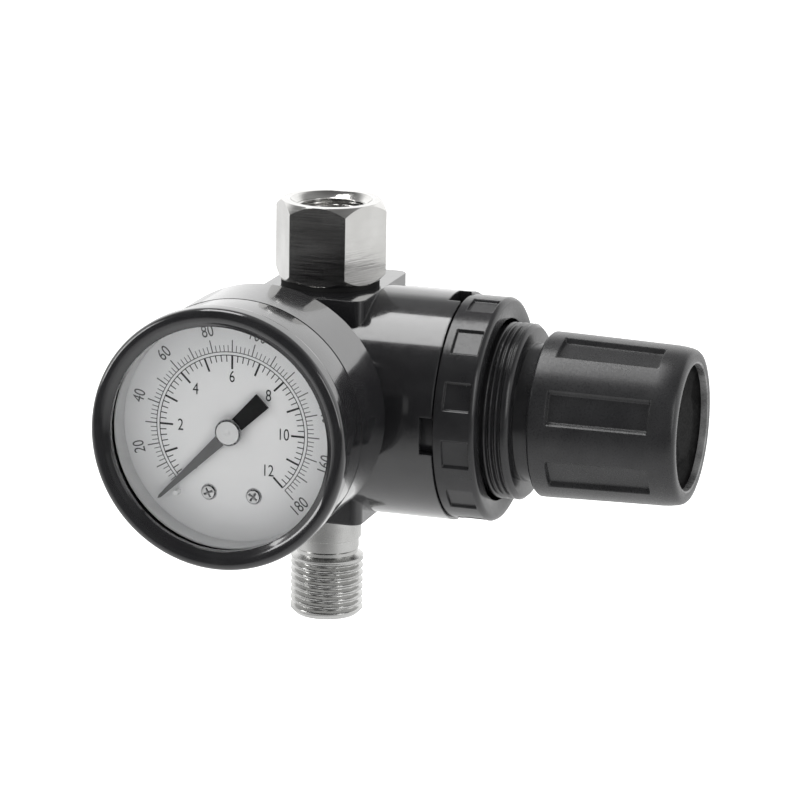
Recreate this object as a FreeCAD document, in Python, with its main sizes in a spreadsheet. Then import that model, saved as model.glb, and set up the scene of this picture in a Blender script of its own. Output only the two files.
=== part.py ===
"""Inline air pressure regulator with a dial gauge, a push-to-lock knob, a swivel inlet nut and a male outlet.

Frame: millimetres, +Z up.  The origin is on the outlet's axis where the full outlet thread starts.  The
regulator axis runs along +X at the height axis_height, and both ports lie on the vertical axis above the
origin.  The gauge faces -Y and the knob is at +X.  Distances named ..._at are measured outwards from the
crossing of the two axes, along the direction in which the piece points.
"""
import FreeCAD, Part
import math
import os
import Sketcher
from FreeCAD import Rotation, Vector

doc = FreeCAD.newDocument("pressure_regulator")

# ---------------------------------------------------------------- driving dimensions
DIMENSIONS = {
    # casting
    "body_radius": 20.4, "body_left": 18.0, "body_right": 25.6, "body_edge": 0.8, "valve_boss": 15.5,
    "pad_half_width": 10.4, "pad_half_depth": 13.3, "pad_rise": 0.0, "pad_drop": 0.0, "pad_corner": 2.0,
    "rim_bore": 18.4, "shoulder_at": 18.0, "chamber_radius": 15.5, "chamber_floor": 14.5,
    "notch_width": 6.7, "notch_length": 2.2,
    # ports
    "port_thread": 6.58, "port_depth": 8.4, "passage_radius": 2.8, "inlet_passage": 3.6,
    "outlet_passage": 4.6, "fit_gap": 0.05,
    # valve seat and gallery
    "seat_at": 1.0, "orifice_radius": 3.5, "gallery_from": 3.2, "gallery_to": 8.2, "gallery_radius": 6.5,
    "inlet_chamber": 8.2, "web_vent": 0.9, "web_vent_at": 4.6,
    # valve cap
    "cap_flange": 13.0, "cap_flange_thick": 3.6, "cap_thread": 10.0, "cap_shank": 5.5, "cap_nose": 5.0,
    "cap_nose_length": 3.5, "guide_depth": 6.0, "cap_slot": 2.6, "seal_groove": 11.5,
    "seal_groove_depth": 1.8, "o_ring_wire": 0.75,
    # poppet
    "stem_radius": 1.5, "stem_gap": 0.06, "poppet_radius": 5.3, "poppet_head": 2.0, "disc_thick": 1.5,
    "disc_radius": 4.9, "tail_radius": 3.0, "tail_length": 9.5, "valve_wire": 0.7, "valve_coils": 4,
    # diaphragm
    "diaphragm_rim": 1.4, "diaphragm_web": 0.9, "hub_radius": 7.0, "hub_thick": 1.0, "hub_stud": 2.8,
    "plate_radius": 10.4, "plate_thick": 1.2, "plate_boss_gap": 1.1, "plate_boss_thick": 1.5,
    # bonnet and ring
    "bonnet_flange": 2.0, "bonnet_thread": 15.7, "bonnet_core": 15.0, "thread_gap": 0.3,
    "bonnet_shoulder": 38.0, "neck_radius": 12.3,
    "neck_end": 46.0, "bonnet_bore": 9.6, "bonnet_wall": 3.0, "plate_room": 13.5, "plate_room_to": 23.6,
    "keyway_width": 3.2, "keyway_radius": 10.7, "ring_radius": 20.0, "ring_face": 19.2, "ring_front": 33.15,
    "ring_bore": 16.2, "ring_pocket_width": 4.95, "ring_pocket_from": 27.2, "ring_pocket_to": 32.2,
    "ring_pocket_deep": 0.9, "ring_pockets": 12,
    # adjusting screw and spring
    "screw_radius": 3.5, "screw_from": 29.4, "collar_radius": 6.0, "collar_thick": 1.2,
    "washer_thick": 0.5, "nut_thick": 4.0, "spring_wire": 1.8, "spring_gap": 1.1,
    "spring_coils": 4, "drive_flats": 6.0, "drive_end": 60.0, "drive_gap": 0.08,
    # knob
    "knob_left": 41.0, "knob_right": 67.2, "knob_radius": 14.7, "knob_taper": 14.15, "knob_taper_at": 63.4,
    "knob_lip": 12.2, "knob_recess": 11.2, "knob_cavity": 12.6, "knob_cavity_to": 50.4,
    "knob_pockets": 7, "knob_pocket_width": 5.7, "knob_pocket_from": 44.2,
    "knob_pocket_to": 62.6, "knob_pocket_deep": 1.1, "knob_cap_thick": 1.4, "knob_recess_deep": 1.3,
    "counterbore": 5.6, "screw_head": 4.2, "screw_head_thick": 1.6, "screw_shank": 1.5,
    # inlet
    "washer_radius": 8.8, "washer_height": 0.8, "spigot_collar": 7.8, "spigot_collar_height": 1.5,
    "spigot_neck": 5.2, "spigot_height": 6.4, "spigot_bore": 3.6, "nut_flats": 17.7, "nut_height": 15.1,
    "nut_lip_rise": 2.5, "nut_lip_thick": 1.4, "nut_room": 6.6, "nut_room_height": 2.7,
    "nut_thread": 5.72, "nut_mouth": 7.3, "nut_mouth_deep": 1.1, "snap_wire": 0.5, "nut_end": 8.85,
    "nut_top_bevel": 1.9, "nut_low_bevel": 1.7,
    # outlet
    "outlet_length": 20.6, "thread_chamfer": 0.9, "outlet_thread_length": 10.1, "relief_length": 1.3,
    "relief_radius": 5.5, "outlet_neck": 5.75, "outlet_neck_length": 2.1, "outlet_collar": 6.15,
    "outlet_bore": 3.6,
    # gauge mounting
    "gauge_x": -2.7, "gauge_z": 3.45, "gauge_thread": 4.86, "boss_radius": 8.4, "boss_rise": 0.5,
    "gauge_port_to": 12.0, "gasket_thick": 1.0, "gasket_radius": 7.2, "socket_flats": 13.0,
    "link_hole": 1.1, "plug_head": 2.6, "plug_radius": 7.0, "plug_key": 5.0,
    # gauge case, in distances from the case's back
    "socket_length": 2.8, "case_radius": 22.0, "case_wall": 1.1, "seam_depth": 14.3, "case_step": 0.8,
    "case_depth": 21.9, "bezel_lip": 0.8, "bezel_step_depth": 22.7, "bezel_depth": 26.6, "bezel_band": 2.5,
    "lens_thick": 1.6, "lens_depth": 22.7, "dial_depth": 18.5, "dial_thick": 0.5, "dial_margin": 2.0,
    "dial_hole": 1.4, "dial_screw_x": 4.07, "dial_screw_z": 11.3, "dial_screw_head": 1.45,
    "dial_screw_high": 0.8, "stop_x": 9.6, "stop_z": 11.7, "stop_radius": 0.45,
    # gauge movement, in distances from the case's back
    "pointer_depth": 19.7, "pointer_thick": 0.35, "pointer_length": 18.3, "pointer_tail": 8.6,
    "hub_cap_radius": 2.4, "hub_cap_thick": 0.75, "arbor_radius": 0.6, "movement_back_depth": 8.3,
    "movement_front_depth": 14.9, "movement_plate": 0.8, "gear_module": 0.3, "pinion_teeth": 8,
    "sector_teeth": 48, "tooth_slack": 0.3, "gear_depth": 10.9, "gear_thick": 1.2, "tube_radius": 16.2,
    "tube_wide": 4.6, "tube_deep": 1.8, "tube_depth": 2.9, "tail_lever": 5.2,
}

# places that follow from the sizes above, each from what it seats on
PLACES = {
    "pad_top": "body_radius+pad_rise", "pad_bottom": "body_radius+pad_drop",
    "boss_face": "body_radius+boss_rise", "spring_mean": "bonnet_bore-spring_gap-spring_wire/2",
    "plate_boss": "spring_mean-spring_wire/2-plate_boss_gap", "spigot_top": "pad_top+spigot_height",
    "nut_top": "pad_top+nut_height", "nut_lip_from": "pad_top+nut_lip_rise",
    "nut_lip_to": "nut_lip_from+nut_lip_thick", "nut_room_to": "nut_lip_to+nut_room_height",
    "outlet_end": "pad_bottom+outlet_length", "case_back": "boss_face+gasket_thick+socket_length",
    "case_seam": "case_back+seam_depth", "case_front": "case_back+case_depth",
    "bezel_radius": "case_radius+bezel_lip", "bezel_step": "case_back+bezel_step_depth",
    "bezel_front": "case_back+bezel_depth", "bezel_opening": "case_radius-bezel_band",
    "lens_back": "case_back+lens_depth", "dial_face": "case_back+dial_depth",
    "dial_radius": "case_radius-dial_margin", "pointer_at": "case_back+pointer_depth",
    "movement_back": "case_back+movement_back_depth", "movement_front": "case_back+movement_front_depth",
    "gear_at": "case_back+gear_depth", "tube_at": "case_back+tube_depth",
}


dims = doc.addObject("Spreadsheet::Sheet", "dims")
for row, (alias, number) in enumerate(DIMENSIONS.items(), start=1):
    dims.set("A%d" % row, alias)
    dims.set("B%d" % row, str(number))
    dims.setAlias("B%d" % row, alias)
doc.recompute()
places = doc.addObject("Spreadsheet::Sheet", "places")
# one cell that works out a formula when a computed shape needs its number
worked = doc.addObject("Spreadsheet::Sheet", "worked")

KNOB = Vector(1, 0, 0)
LEFT = Vector(-1, 0, 0)
FRONT = Vector(0, -1, 0)
BACK = Vector(0, 1, 0)
UP = Vector(0, 0, 1)
DOWN = Vector(0, 0, -1)
OWN_X = Vector(1, 0, 0)
OWN_Z = Vector(0, 0, 1)
nodes = []
heights = {}


# ---------------------------------------------------------------- building helpers
def formula(text, own_places="places."):
    """Write the sheet's name in front of each alias of an expression."""
    words = []
    word = ""
    for letter in text + " ":
        if letter.isalnum() or letter == "_":
            word += letter
            continue
        if word in DIMENSIONS:
            word = "dims." + word
        elif word in PLACES:
            word = own_places + word
        words.append(word + letter)
        word = ""
    return "".join(words).strip()


for row, (alias, text) in enumerate(PLACES.items(), start=1):
    places.set("A%d" % row, alias)
    places.setAlias("B%d" % row, alias)
    places.set("B%d" % row, "=" + formula(text, ""))
doc.recompute()


def value(text):
    """The number that an expression of the sheets gives now."""
    worked.set("A1", "=" + formula(text))
    worked.recompute()
    result = worked.get("A1")
    return float(getattr(result, "Value", result))


def bind(item, path, text):
    item.setExpression(path, formula(text))


def put(item, own_axis, toward, place):
    """Turn an item's own axis toward a direction and bind its base to three expressions."""
    item.Placement.Rotation = Rotation(own_axis, toward)
    for letter, text in zip("xyz", place):
        bind(item, "Placement.Base." + letter, text)
    heights[item.Name] = place[2]
    return item


def along(start, toward, across=("0", "0", "0")):
    """The place at a distance from the axis crossing, toward a direction, plus an offset."""
    parts = (toward.x, toward.y, toward.z)
    return tuple("%d*(%s)+(%s)" % (part, start, offset) for part, offset in zip(parts, across))


def node(item, label):
    """Make an item one of the finished pieces, lifted from the axis crossing to the origin's frame."""
    item.Label = label
    bind(item, "Placement.Base.z", "(%s)+%s" % (heights.get(item.Name, "0"), AXIS_HEIGHT))
    nodes.append(item)
    return item


AXIS_HEIGHT = "outlet_end-thread_chamfer"


def turned(name, outline, start="0", toward=KNOB, across=("0", "0", "0")):
    """A piece turned about its own axis, from (distance, radius) pairs of expressions."""
    body = doc.addObject("PartDesign::Body", name)
    sketch = body.newObject("Sketcher::SketchObject", name + "_outline")
    plane = next(item for item in body.Origin.OriginFeatures if item.Role == "XY_Plane")
    sketch.AttachmentSupport = [(plane, "")]
    sketch.MapMode = "FlatFace"
    points = [Vector(value(distance), value(radius), 0) for distance, radius in outline]
    count = len(points)
    for index in range(count):
        sketch.addGeometry(Part.LineSegment(points[index], points[(index + 1) % count]), False)
    for index in range(count):
        sketch.addConstraint(Sketcher.Constraint("Coincident", index, 2, (index + 1) % count, 1))
    for index, (distance, radius) in enumerate(outline):
        if distance == "0":
            sketch.addConstraint(Sketcher.Constraint("PointOnObject", index, 1, -2))
        else:
            size = Sketcher.Constraint("DistanceX", -1, 1, index, 1, points[index].x)
            bind(sketch, "Constraints[%d]" % sketch.addConstraint(size), distance)
        if radius == "0":
            sketch.addConstraint(Sketcher.Constraint("PointOnObject", index, 1, -1))
        else:
            size = Sketcher.Constraint("DistanceY", -1, 1, index, 1, points[index].y)
            bind(sketch, "Constraints[%d]" % sketch.addConstraint(size), radius)
    turn = body.newObject("PartDesign::Revolution", name + "_turn")
    turn.Profile = sketch
    turn.ReferenceAxis = (sketch, ["H_Axis"])
    turn.Angle = 360
    return put(body, OWN_X, toward, along(start, toward, across))


def rod(name, radius, length, start="0", toward=KNOB, across=("0", "0", "0")):
    item = doc.addObject("Part::Cylinder", name)
    bind(item, "Radius", radius)
    bind(item, "Height", length)
    return put(item, OWN_Z, toward, along(start, toward, across))


def ball_ring(name, ring, wire, start="0", toward=KNOB, across=("0", "0", "0")):
    item = doc.addObject("Part::Torus", name)
    bind(item, "Radius1", ring)
    bind(item, "Radius2", wire)
    return put(item, OWN_Z, toward, along(start, toward, across))


def prism(name, flats, length, start="0", toward=KNOB, across=("0", "0", "0"), corner=0.0):
    """A hexagonal bar; corner is the angle of its first corner about its own axis."""
    item = doc.addObject("Part::Prism", name)
    item.Polygon = 6
    bind(item, "Circumradius", "(%s)/2/cos(30)" % flats)
    bind(item, "Height", length)
    put(item, OWN_Z, toward, along(start, toward, across))
    item.Placement.Rotation = item.Placement.Rotation * Rotation(OWN_Z, corner)
    return item


def block(name, sizes, low):
    """A box with bound side lengths and a bound lowest corner."""
    item = doc.addObject("Part::Box", name)
    for side, text in zip(("Length", "Width", "Height"), sizes):
        bind(item, side, text)
    return put(item, OWN_X, OWN_X, low)


def around_knob_axis(name, sizes, start, radius, angle):
    """A box centred across a radial line at an angle above the front, its lowest face at a radius."""
    item = doc.addObject("Part::Box", name)
    for side, text in zip(("Length", "Width", "Height"), sizes):
        bind(item, side, text)
    # the box's Z points outwards, its Y runs round the axis
    item.Placement.Rotation = Rotation(OWN_X, 90.0 - angle)
    wide = "(%s)/2" % sizes[1]
    bind(item, "Placement.Base.x", start)
    bind(item, "Placement.Base.y", "-(%s)*cos(%.4f)-%s*sin(%.4f)" % (radius, angle, wide, angle))
    bind(item, "Placement.Base.z", "(%s)*sin(%.4f)-%s*cos(%.4f)" % (radius, angle, wide, angle))
    return item


def fuse(name, items):
    item = doc.addObject("Part::MultiFuse", name)
    item.Shapes = items
    return item


def cut(name, base, tools):
    item = doc.addObject("Part::Cut", name)
    item.Base = base
    item.Tool = tools[0] if len(tools) == 1 else fuse(name + "_tools", tools)
    return item


def common(name, first, second):
    item = doc.addObject("Part::MultiCommon", name)
    item.Shapes = [first, second]
    return item


def shaped(name, shape):
    """A piece whose shape is computed, in the frame of the axis crossing."""
    item = doc.addObject("Part::Feature", name)
    item.Shape = shape
    return item


GAUGE = ("gauge_x", "0", "gauge_z")


# ---------------------------------------------------------------- casting
def valve_body():
    shell = turned("body_shell", [
        ("0", "0"), ("0", "valve_boss-body_edge"), ("body_edge", "valve_boss"),
        ("body_left-pad_half_width", "valve_boss"), ("body_left-pad_half_width", "body_radius-body_edge"),
        ("body_left-pad_half_width+body_edge", "body_radius"), ("body_left+body_right", "body_radius"),
        ("body_left+body_right", "0")], "-body_left")
    pads = block("body_pads", ("2*pad_half_width", "2*pad_half_depth", "pad_top+pad_bottom"),
                 ("-pad_half_width", "-pad_half_depth", "-pad_bottom"))
    rounded_pads = doc.addObject("Part::Fillet", "rounded_pads")
    rounded_pads.Base = pads
    doc.recompute()
    corner = value("pad_corner")
    rounded_pads.Edges = [(number, corner, corner) for number, edge in enumerate(pads.Shape.Edges, start=1)
                          if abs(edge.tangentAt(edge.FirstParameter).z) > 0.9]
    boss = rod("gauge_boss", "boss_radius", "boss_face-gauge_port_to", "gauge_port_to", FRONT, GAUGE)
    rear_boss = rod("rear_boss", "boss_radius", "boss_face-gauge_port_to", "gauge_port_to", BACK, GAUGE)
    solid = fuse("body_solid", [shell, rounded_pads, boss, rear_boss])
    tools = [
        rod("rim_bore_cut", "rim_bore", "body_right", "shoulder_at"),
        rod("chamber_cut", "chamber_radius", "body_right", "chamber_floor"),
        rod("inlet_chamber_cut", "inlet_chamber", "body_left+seat_at", "-body_left"),
        rod("cap_thread_cut", "cap_thread", "cap_shank+0.5", "-body_left"),
        rod("seal_groove_cut", "seal_groove", "seal_groove_depth", "-body_left"),
        rod("orifice_cut", "orifice_radius", "gallery_from", "seat_at"),
        rod("gallery_cut", "gallery_radius", "gallery_to-gallery_from", "gallery_from"),
        rod("stem_cut", "stem_radius+stem_gap", "chamber_floor", "seat_at"),
        rod("vent_cut", "web_vent", "chamber_floor-gallery_from", "gallery_from", KNOB,
            ("0", "0", "web_vent_at")),
        rod("inlet_thread_cut", "port_thread+fit_gap", "port_depth+1", "pad_top-port_depth", UP),
        rod("inlet_passage_cut", "passage_radius", "pad_top-port_depth", "0", UP, ("-inlet_passage", "0", "1")),
        rod("outlet_thread_cut", "port_thread+fit_gap", "port_depth+1", "pad_bottom-port_depth", DOWN),
        rod("outlet_passage_cut", "passage_radius", "pad_bottom-port_depth-4", "4", DOWN,
            ("outlet_passage", "0", "0")),
    ]
    for name, toward in (("gauge", FRONT), ("rear", BACK)):
        tools.append(rod(name + "_port_cut", "gauge_thread+fit_gap", "boss_face", "gauge_port_to", toward,
                         GAUGE))
        hole = rod(name + "_link_cut", "link_hole", "12", "gauge_port_to+1", toward,
                   ("gauge_x+1", "0", "gauge_z"))
        inward = Vector(0.6, -0.8 * toward.y, 0)
        hole.Placement.Rotation = Rotation(OWN_Z, inward)
        tools.append(hole)
    for number in range(4):
        tools.append(around_knob_axis(
            "notch_%d" % number, ("notch_length", "notch_width", "body_radius"),
            "body_right-notch_length", "rim_bore-1", NOTCH_ANGLE + 90 * number))
    node(cut("body_casting", solid, tools), "valve_body")


NOTCH_ANGLE = -2.3


# ---------------------------------------------------------------- valve cap, poppet and springs
def spring(name, mean, wire, coils, length, start):
    """A compression spring of round wire between two faces, the first one at a distance along +X."""
    rise = value("(%s)-(%s)" % (length, wire))
    helix = Part.makeHelix(rise / value(coils), rise, value(mean))
    section = Part.makeCircle(value(wire) / 2, Vector(value(mean), 0, 0), Vector(0, 1, 0))
    item = shaped(name, Part.Wire(helix).makePipeShell([Part.Wire(section)], True, True))
    return put(item, OWN_Z, KNOB, along("(%s)+(%s)/2" % (start, wire), KNOB))


def valve_cap():
    body = turned("cap_body", [
        ("0", "0"), ("0", "cap_flange-0.8"), ("0.8", "cap_flange"), ("cap_flange_thick", "cap_flange"),
        ("cap_flange_thick", "cap_thread-fit_gap"), ("cap_flange_thick+cap_shank", "cap_thread-fit_gap"),
        ("cap_flange_thick+cap_shank", "cap_nose"),
        ("cap_flange_thick+cap_shank+cap_nose_length", "cap_nose"),
        ("cap_flange_thick+cap_shank+cap_nose_length", "tail_radius+stem_gap"),
        ("cap_flange_thick+cap_shank+cap_nose_length-guide_depth", "tail_radius+stem_gap"),
        ("cap_flange_thick+cap_shank+cap_nose_length-guide_depth", "0")], "-body_left-cap_flange_thick")
    slot = block("cap_slot_cut", ("1.6", "cap_slot", "2*cap_flange+2"),
                 ("-body_left-cap_flange_thick", "-cap_slot/2", "-cap_flange-1"))
    node(cut("cap_cut", body, [slot]), "valve_cap")
    seal = ball_ring("cap_seal", "(cap_thread+seal_groove)/2-fit_gap/2", "o_ring_wire",
                     "-body_left+seal_groove_depth/2")
    node(seal, "cap_o_ring")


NOSE_AT = "(-body_left+cap_shank+cap_nose_length)"
DISC_LEFT = "(seat_at-disc_thick)"
HEAD_LEFT = "(seat_at-disc_thick-poppet_head)"
HUB_LEFT = "(shoulder_at+diaphragm_rim-diaphragm_web-hub_thick)"


def poppet_group():
    poppet = turned("poppet_turned", [
        ("0", "0"), ("0", "tail_radius-0.5"), ("0.5", "tail_radius"), ("tail_length", "tail_radius"),
        ("tail_length", "poppet_radius"), ("tail_length+poppet_head", "poppet_radius"),
        ("tail_length+poppet_head", "stem_radius"), ("tail_length", "stem_radius"), ("tail_length", "0")],
        HEAD_LEFT + "-tail_length")
    node(poppet, "valve_poppet")
    disc = turned("disc_turned", [
        ("0", "stem_radius"), ("0", "disc_radius"), ("disc_thick-0.02", "disc_radius"),
        ("disc_thick-0.02", "stem_radius")], DISC_LEFT)
    node(disc, "valve_disc")
    stem = turned("stem_turned", [
        ("0", "0"), ("0", "stem_radius"), ("%s-%s-0.55" % (HUB_LEFT, HEAD_LEFT), "stem_radius"),
        ("%s-%s-0.05" % (HUB_LEFT, HEAD_LEFT), "stem_radius-0.5"),
        ("%s-%s-0.05" % (HUB_LEFT, HEAD_LEFT), "0")], HEAD_LEFT)
    node(stem, "valve_stem")
    coil = spring("valve_coil", "(tail_radius+cap_nose)/2", "valve_wire", "valve_coils",
                  HEAD_LEFT + "-" + NOSE_AT, NOSE_AT)
    node(coil, "valve_spring")


# ---------------------------------------------------------------- diaphragm and regulating spring
def diaphragm_group():
    rubber = turned("diaphragm_turned", [
        ("0", "chamber_radius+0.2"), ("0", "rim_bore-0.2"), ("diaphragm_rim", "rim_bore-0.2"),
        ("diaphragm_rim", "plate_room-0.5"), ("diaphragm_rim+0.8", "plate_room-1"),
        ("diaphragm_rim+0.8", "plate_radius+0.9"), ("diaphragm_rim", "plate_radius+0.4"),
        ("diaphragm_rim", "hub_stud"), ("diaphragm_rim-diaphragm_web", "hub_stud"),
        ("diaphragm_rim-diaphragm_web", "plate_radius+0.8"), ("diaphragm_rim", "plate_radius+1.2"),
        ("diaphragm_rim", "plate_room-1.4"), ("diaphragm_rim-diaphragm_web", "plate_room-0.9")],
        "shoulder_at")
    node(rubber, "diaphragm")
    hub = turned("hub_turned", [
        ("0", "0"), ("0", "hub_radius-0.3"), ("0.3", "hub_radius"), ("hub_thick", "hub_radius"),
        ("hub_thick", "hub_stud"),
        ("hub_thick+diaphragm_web+plate_thick+plate_boss_thick+1", "hub_stud"),
        ("hub_thick+diaphragm_web+plate_thick+plate_boss_thick+1", "0")], HUB_LEFT)
    node(hub, "diaphragm_hub")
    plate = turned("plate_turned", [
        ("0", "hub_stud"), ("0", "plate_radius"), ("plate_thick", "plate_radius"),
        ("plate_thick", "plate_boss"), ("plate_thick+plate_boss_thick", "plate_boss-0.4"),
        ("plate_thick+plate_boss_thick", "hub_stud")], "shoulder_at+diaphragm_rim")
    node(plate, "diaphragm_plate")
    seat = "(shoulder_at+diaphragm_rim+plate_thick)"
    coil = spring("main_coil", "spring_mean", "spring_wire", "spring_coils", NUT_LEFT + "-" + seat, seat)
    node(coil, "regulating_spring")


WALL_LEFT = "(neck_end-bonnet_wall)"
COLLAR_LEFT = "(neck_end-bonnet_wall-washer_thick-collar_thick)"
NUT_LEFT = "(neck_end-bonnet_wall-washer_thick-collar_thick-0.4-nut_thick)"


def bonnet_group():
    start = "shoulder_at+diaphragm_rim"
    tube = turned("bonnet_turned", [
        ("0", "plate_room"), ("0", "rim_bore-0.3"), ("bonnet_flange", "rim_bore-0.3"),
        ("bonnet_flange", "bonnet_core"), ("ring_front+thread_gap-(%s)" % start, "bonnet_core"),
        ("ring_front+thread_gap-(%s)" % start, "bonnet_thread"),
        ("bonnet_shoulder-0.7-(%s)" % start, "bonnet_thread"),
        ("bonnet_shoulder-(%s)" % start, "bonnet_thread-0.7"), ("bonnet_shoulder-(%s)" % start, "neck_radius"),
        ("neck_end-0.6-(%s)" % start, "neck_radius"), ("neck_end-(%s)" % start, "neck_radius-0.6"),
        ("neck_end-(%s)" % start, "screw_radius+fit_gap"),
        ("%s-(%s)" % (WALL_LEFT, start), "screw_radius+fit_gap"),
        ("%s-(%s)" % (WALL_LEFT, start), "bonnet_bore"),
        ("plate_room_to-(%s)" % start, "bonnet_bore"), ("plate_room_to-(%s)" % start, "plate_room")], start)
    keyways = block("keyway_cut", (WALL_LEFT + "-plate_room_to", "keyway_width", "2*keyway_radius"),
                    ("plate_room_to", "-keyway_width/2", "-keyway_radius"))
    node(cut("bonnet_cut", tube, [keyways]), "bonnet")

    inner = "shoulder_at+diaphragm_rim+bonnet_flange"
    ring = turned("ring_turned", [
        ("0", "ring_bore"), ("0", "rim_bore-fit_gap"), ("body_right-(%s)" % inner, "rim_bore-fit_gap"),
        ("body_right-(%s)" % inner, "ring_radius"), ("ring_front-0.8-(%s)" % inner, "ring_radius-0.1"),
        ("ring_front-(%s)" % inner, "ring_face"), ("ring_front-(%s)" % inner, "ring_bore+0.4"),
        ("ring_front-0.4-(%s)" % inner, "ring_bore")], inner)
    pockets = []
    count = round(value("ring_pockets"))
    for number in range(count):
        pockets.append(around_knob_axis(
            "ring_pocket_%d" % number, ("ring_pocket_to-ring_pocket_from", "ring_pocket_width", "4"),
            "ring_pocket_from", "ring_radius-ring_pocket_deep", RING_ANGLE + 360.0 / count * number))
    node(cut("ring_cut", ring, pockets), "bonnet_ring")


RING_ANGLE = 18.8


def adjusting_group():
    nut = rod("nut_round", "bonnet_bore-0.15", "nut_thick", NUT_LEFT)
    lugs = block("nut_lugs", ("nut_thick", "keyway_width-0.3", "2*keyway_radius-0.3"),
                 (NUT_LEFT, "-keyway_width/2+0.15", "-keyway_radius+0.15"))
    hole = rod("nut_hole", "screw_radius+fit_gap", "nut_thick", NUT_LEFT)
    node(cut("nut_cut", fuse("nut_solid", [nut, lugs]), [hole]), "spring_nut")
    shaft = turned("screw_turned", [
        ("0", "0"), ("0", "screw_radius-0.5"), ("0.5", "screw_radius"),
        (COLLAR_LEFT + "-screw_from", "screw_radius"), (COLLAR_LEFT + "-screw_from", "collar_radius"),
        (COLLAR_LEFT + "+collar_thick-screw_from", "collar_radius"),
        (COLLAR_LEFT + "+collar_thick-screw_from", "screw_radius"),
        ("neck_end+0.8-screw_from", "screw_radius"), ("neck_end+0.8-screw_from", "screw_shank"),
        ("neck_end+2-screw_from", "screw_shank"), ("neck_end+2-screw_from", "0")], "screw_from")
    drive = prism("drive_bar", "drive_flats", "drive_end-neck_end-0.8", "neck_end+0.8")
    tapped = rod("drive_tapping", "screw_shank+0.02", "10", "drive_end-10")
    node(cut("screw_cut", fuse("screw_solid", [shaft, drive]), [tapped]), "adjusting_screw")
    washer = turned("thrust_turned", [
        ("0", "screw_radius"), ("0", "collar_radius"), ("washer_thick-0.03", "collar_radius"),
        ("washer_thick-0.03", "screw_radius")], COLLAR_LEFT + "+collar_thick")
    node(washer, "thrust_washer")


def knob_group():
    floor = "knob_right-knob_recess_deep-knob_cap_thick"
    skin = turned("knob_turned", [
        ("0", "knob_cavity"), ("0", "knob_radius-0.4"), ("0.4", "knob_radius"),
        ("knob_taper_at-knob_left", "knob_taper"), ("knob_right-1.3-knob_left", "knob_taper-0.5"),
        ("knob_right-0.4-knob_left", "knob_lip+0.5"), ("knob_right-knob_left", "knob_lip"),
        ("knob_right-knob_left", "knob_recess+0.3"), ("knob_right-0.3-knob_left", "knob_recess"),
        ("%s-knob_left" % floor, "knob_recess"), ("%s-knob_left" % floor, "counterbore"),
        ("drive_end-0.1-knob_left", "counterbore"), ("drive_end-0.1-knob_left", "screw_shank"),
        ("knob_cavity_to-knob_left", "screw_shank"), ("knob_cavity_to-knob_left", "knob_cavity")], "knob_left")
    tools = [prism("drive_socket", "drive_flats+2*drive_gap", "drive_end-knob_cavity_to+1", "knob_cavity_to-1")]
    count = round(value("knob_pockets"))
    for number in range(count):
        tools.append(around_knob_axis(
            "knob_pocket_%d" % number, ("knob_pocket_to-knob_pocket_from", "knob_pocket_width", "4"),
            "knob_pocket_from", "knob_taper-knob_pocket_deep", KNOB_ANGLE + 360.0 / count * number))
    node(cut("knob_cut", skin, tools), "knob")
    cap = turned("knob_cap_turned", [
        ("0", "0"), ("0", "knob_recess"), ("knob_cap_thick", "knob_recess"), ("knob_cap_thick", "0")], floor)
    node(cap, "knob_cap")
    screw = turned("knob_screw_turned", [
        ("0", "0"), ("0", "screw_shank"), ("8", "screw_shank"), ("8", "screw_head"),
        ("8+screw_head_thick-0.5", "screw_head"), ("8+screw_head_thick", "screw_head-0.8"),
        ("8+screw_head_thick", "1.4"), ("7+screw_head_thick", "1.2"), ("7+screw_head_thick", "0")],
        "drive_end-8")
    node(screw, "knob_screw")


KNOB_ANGLE = 19.0


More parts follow.
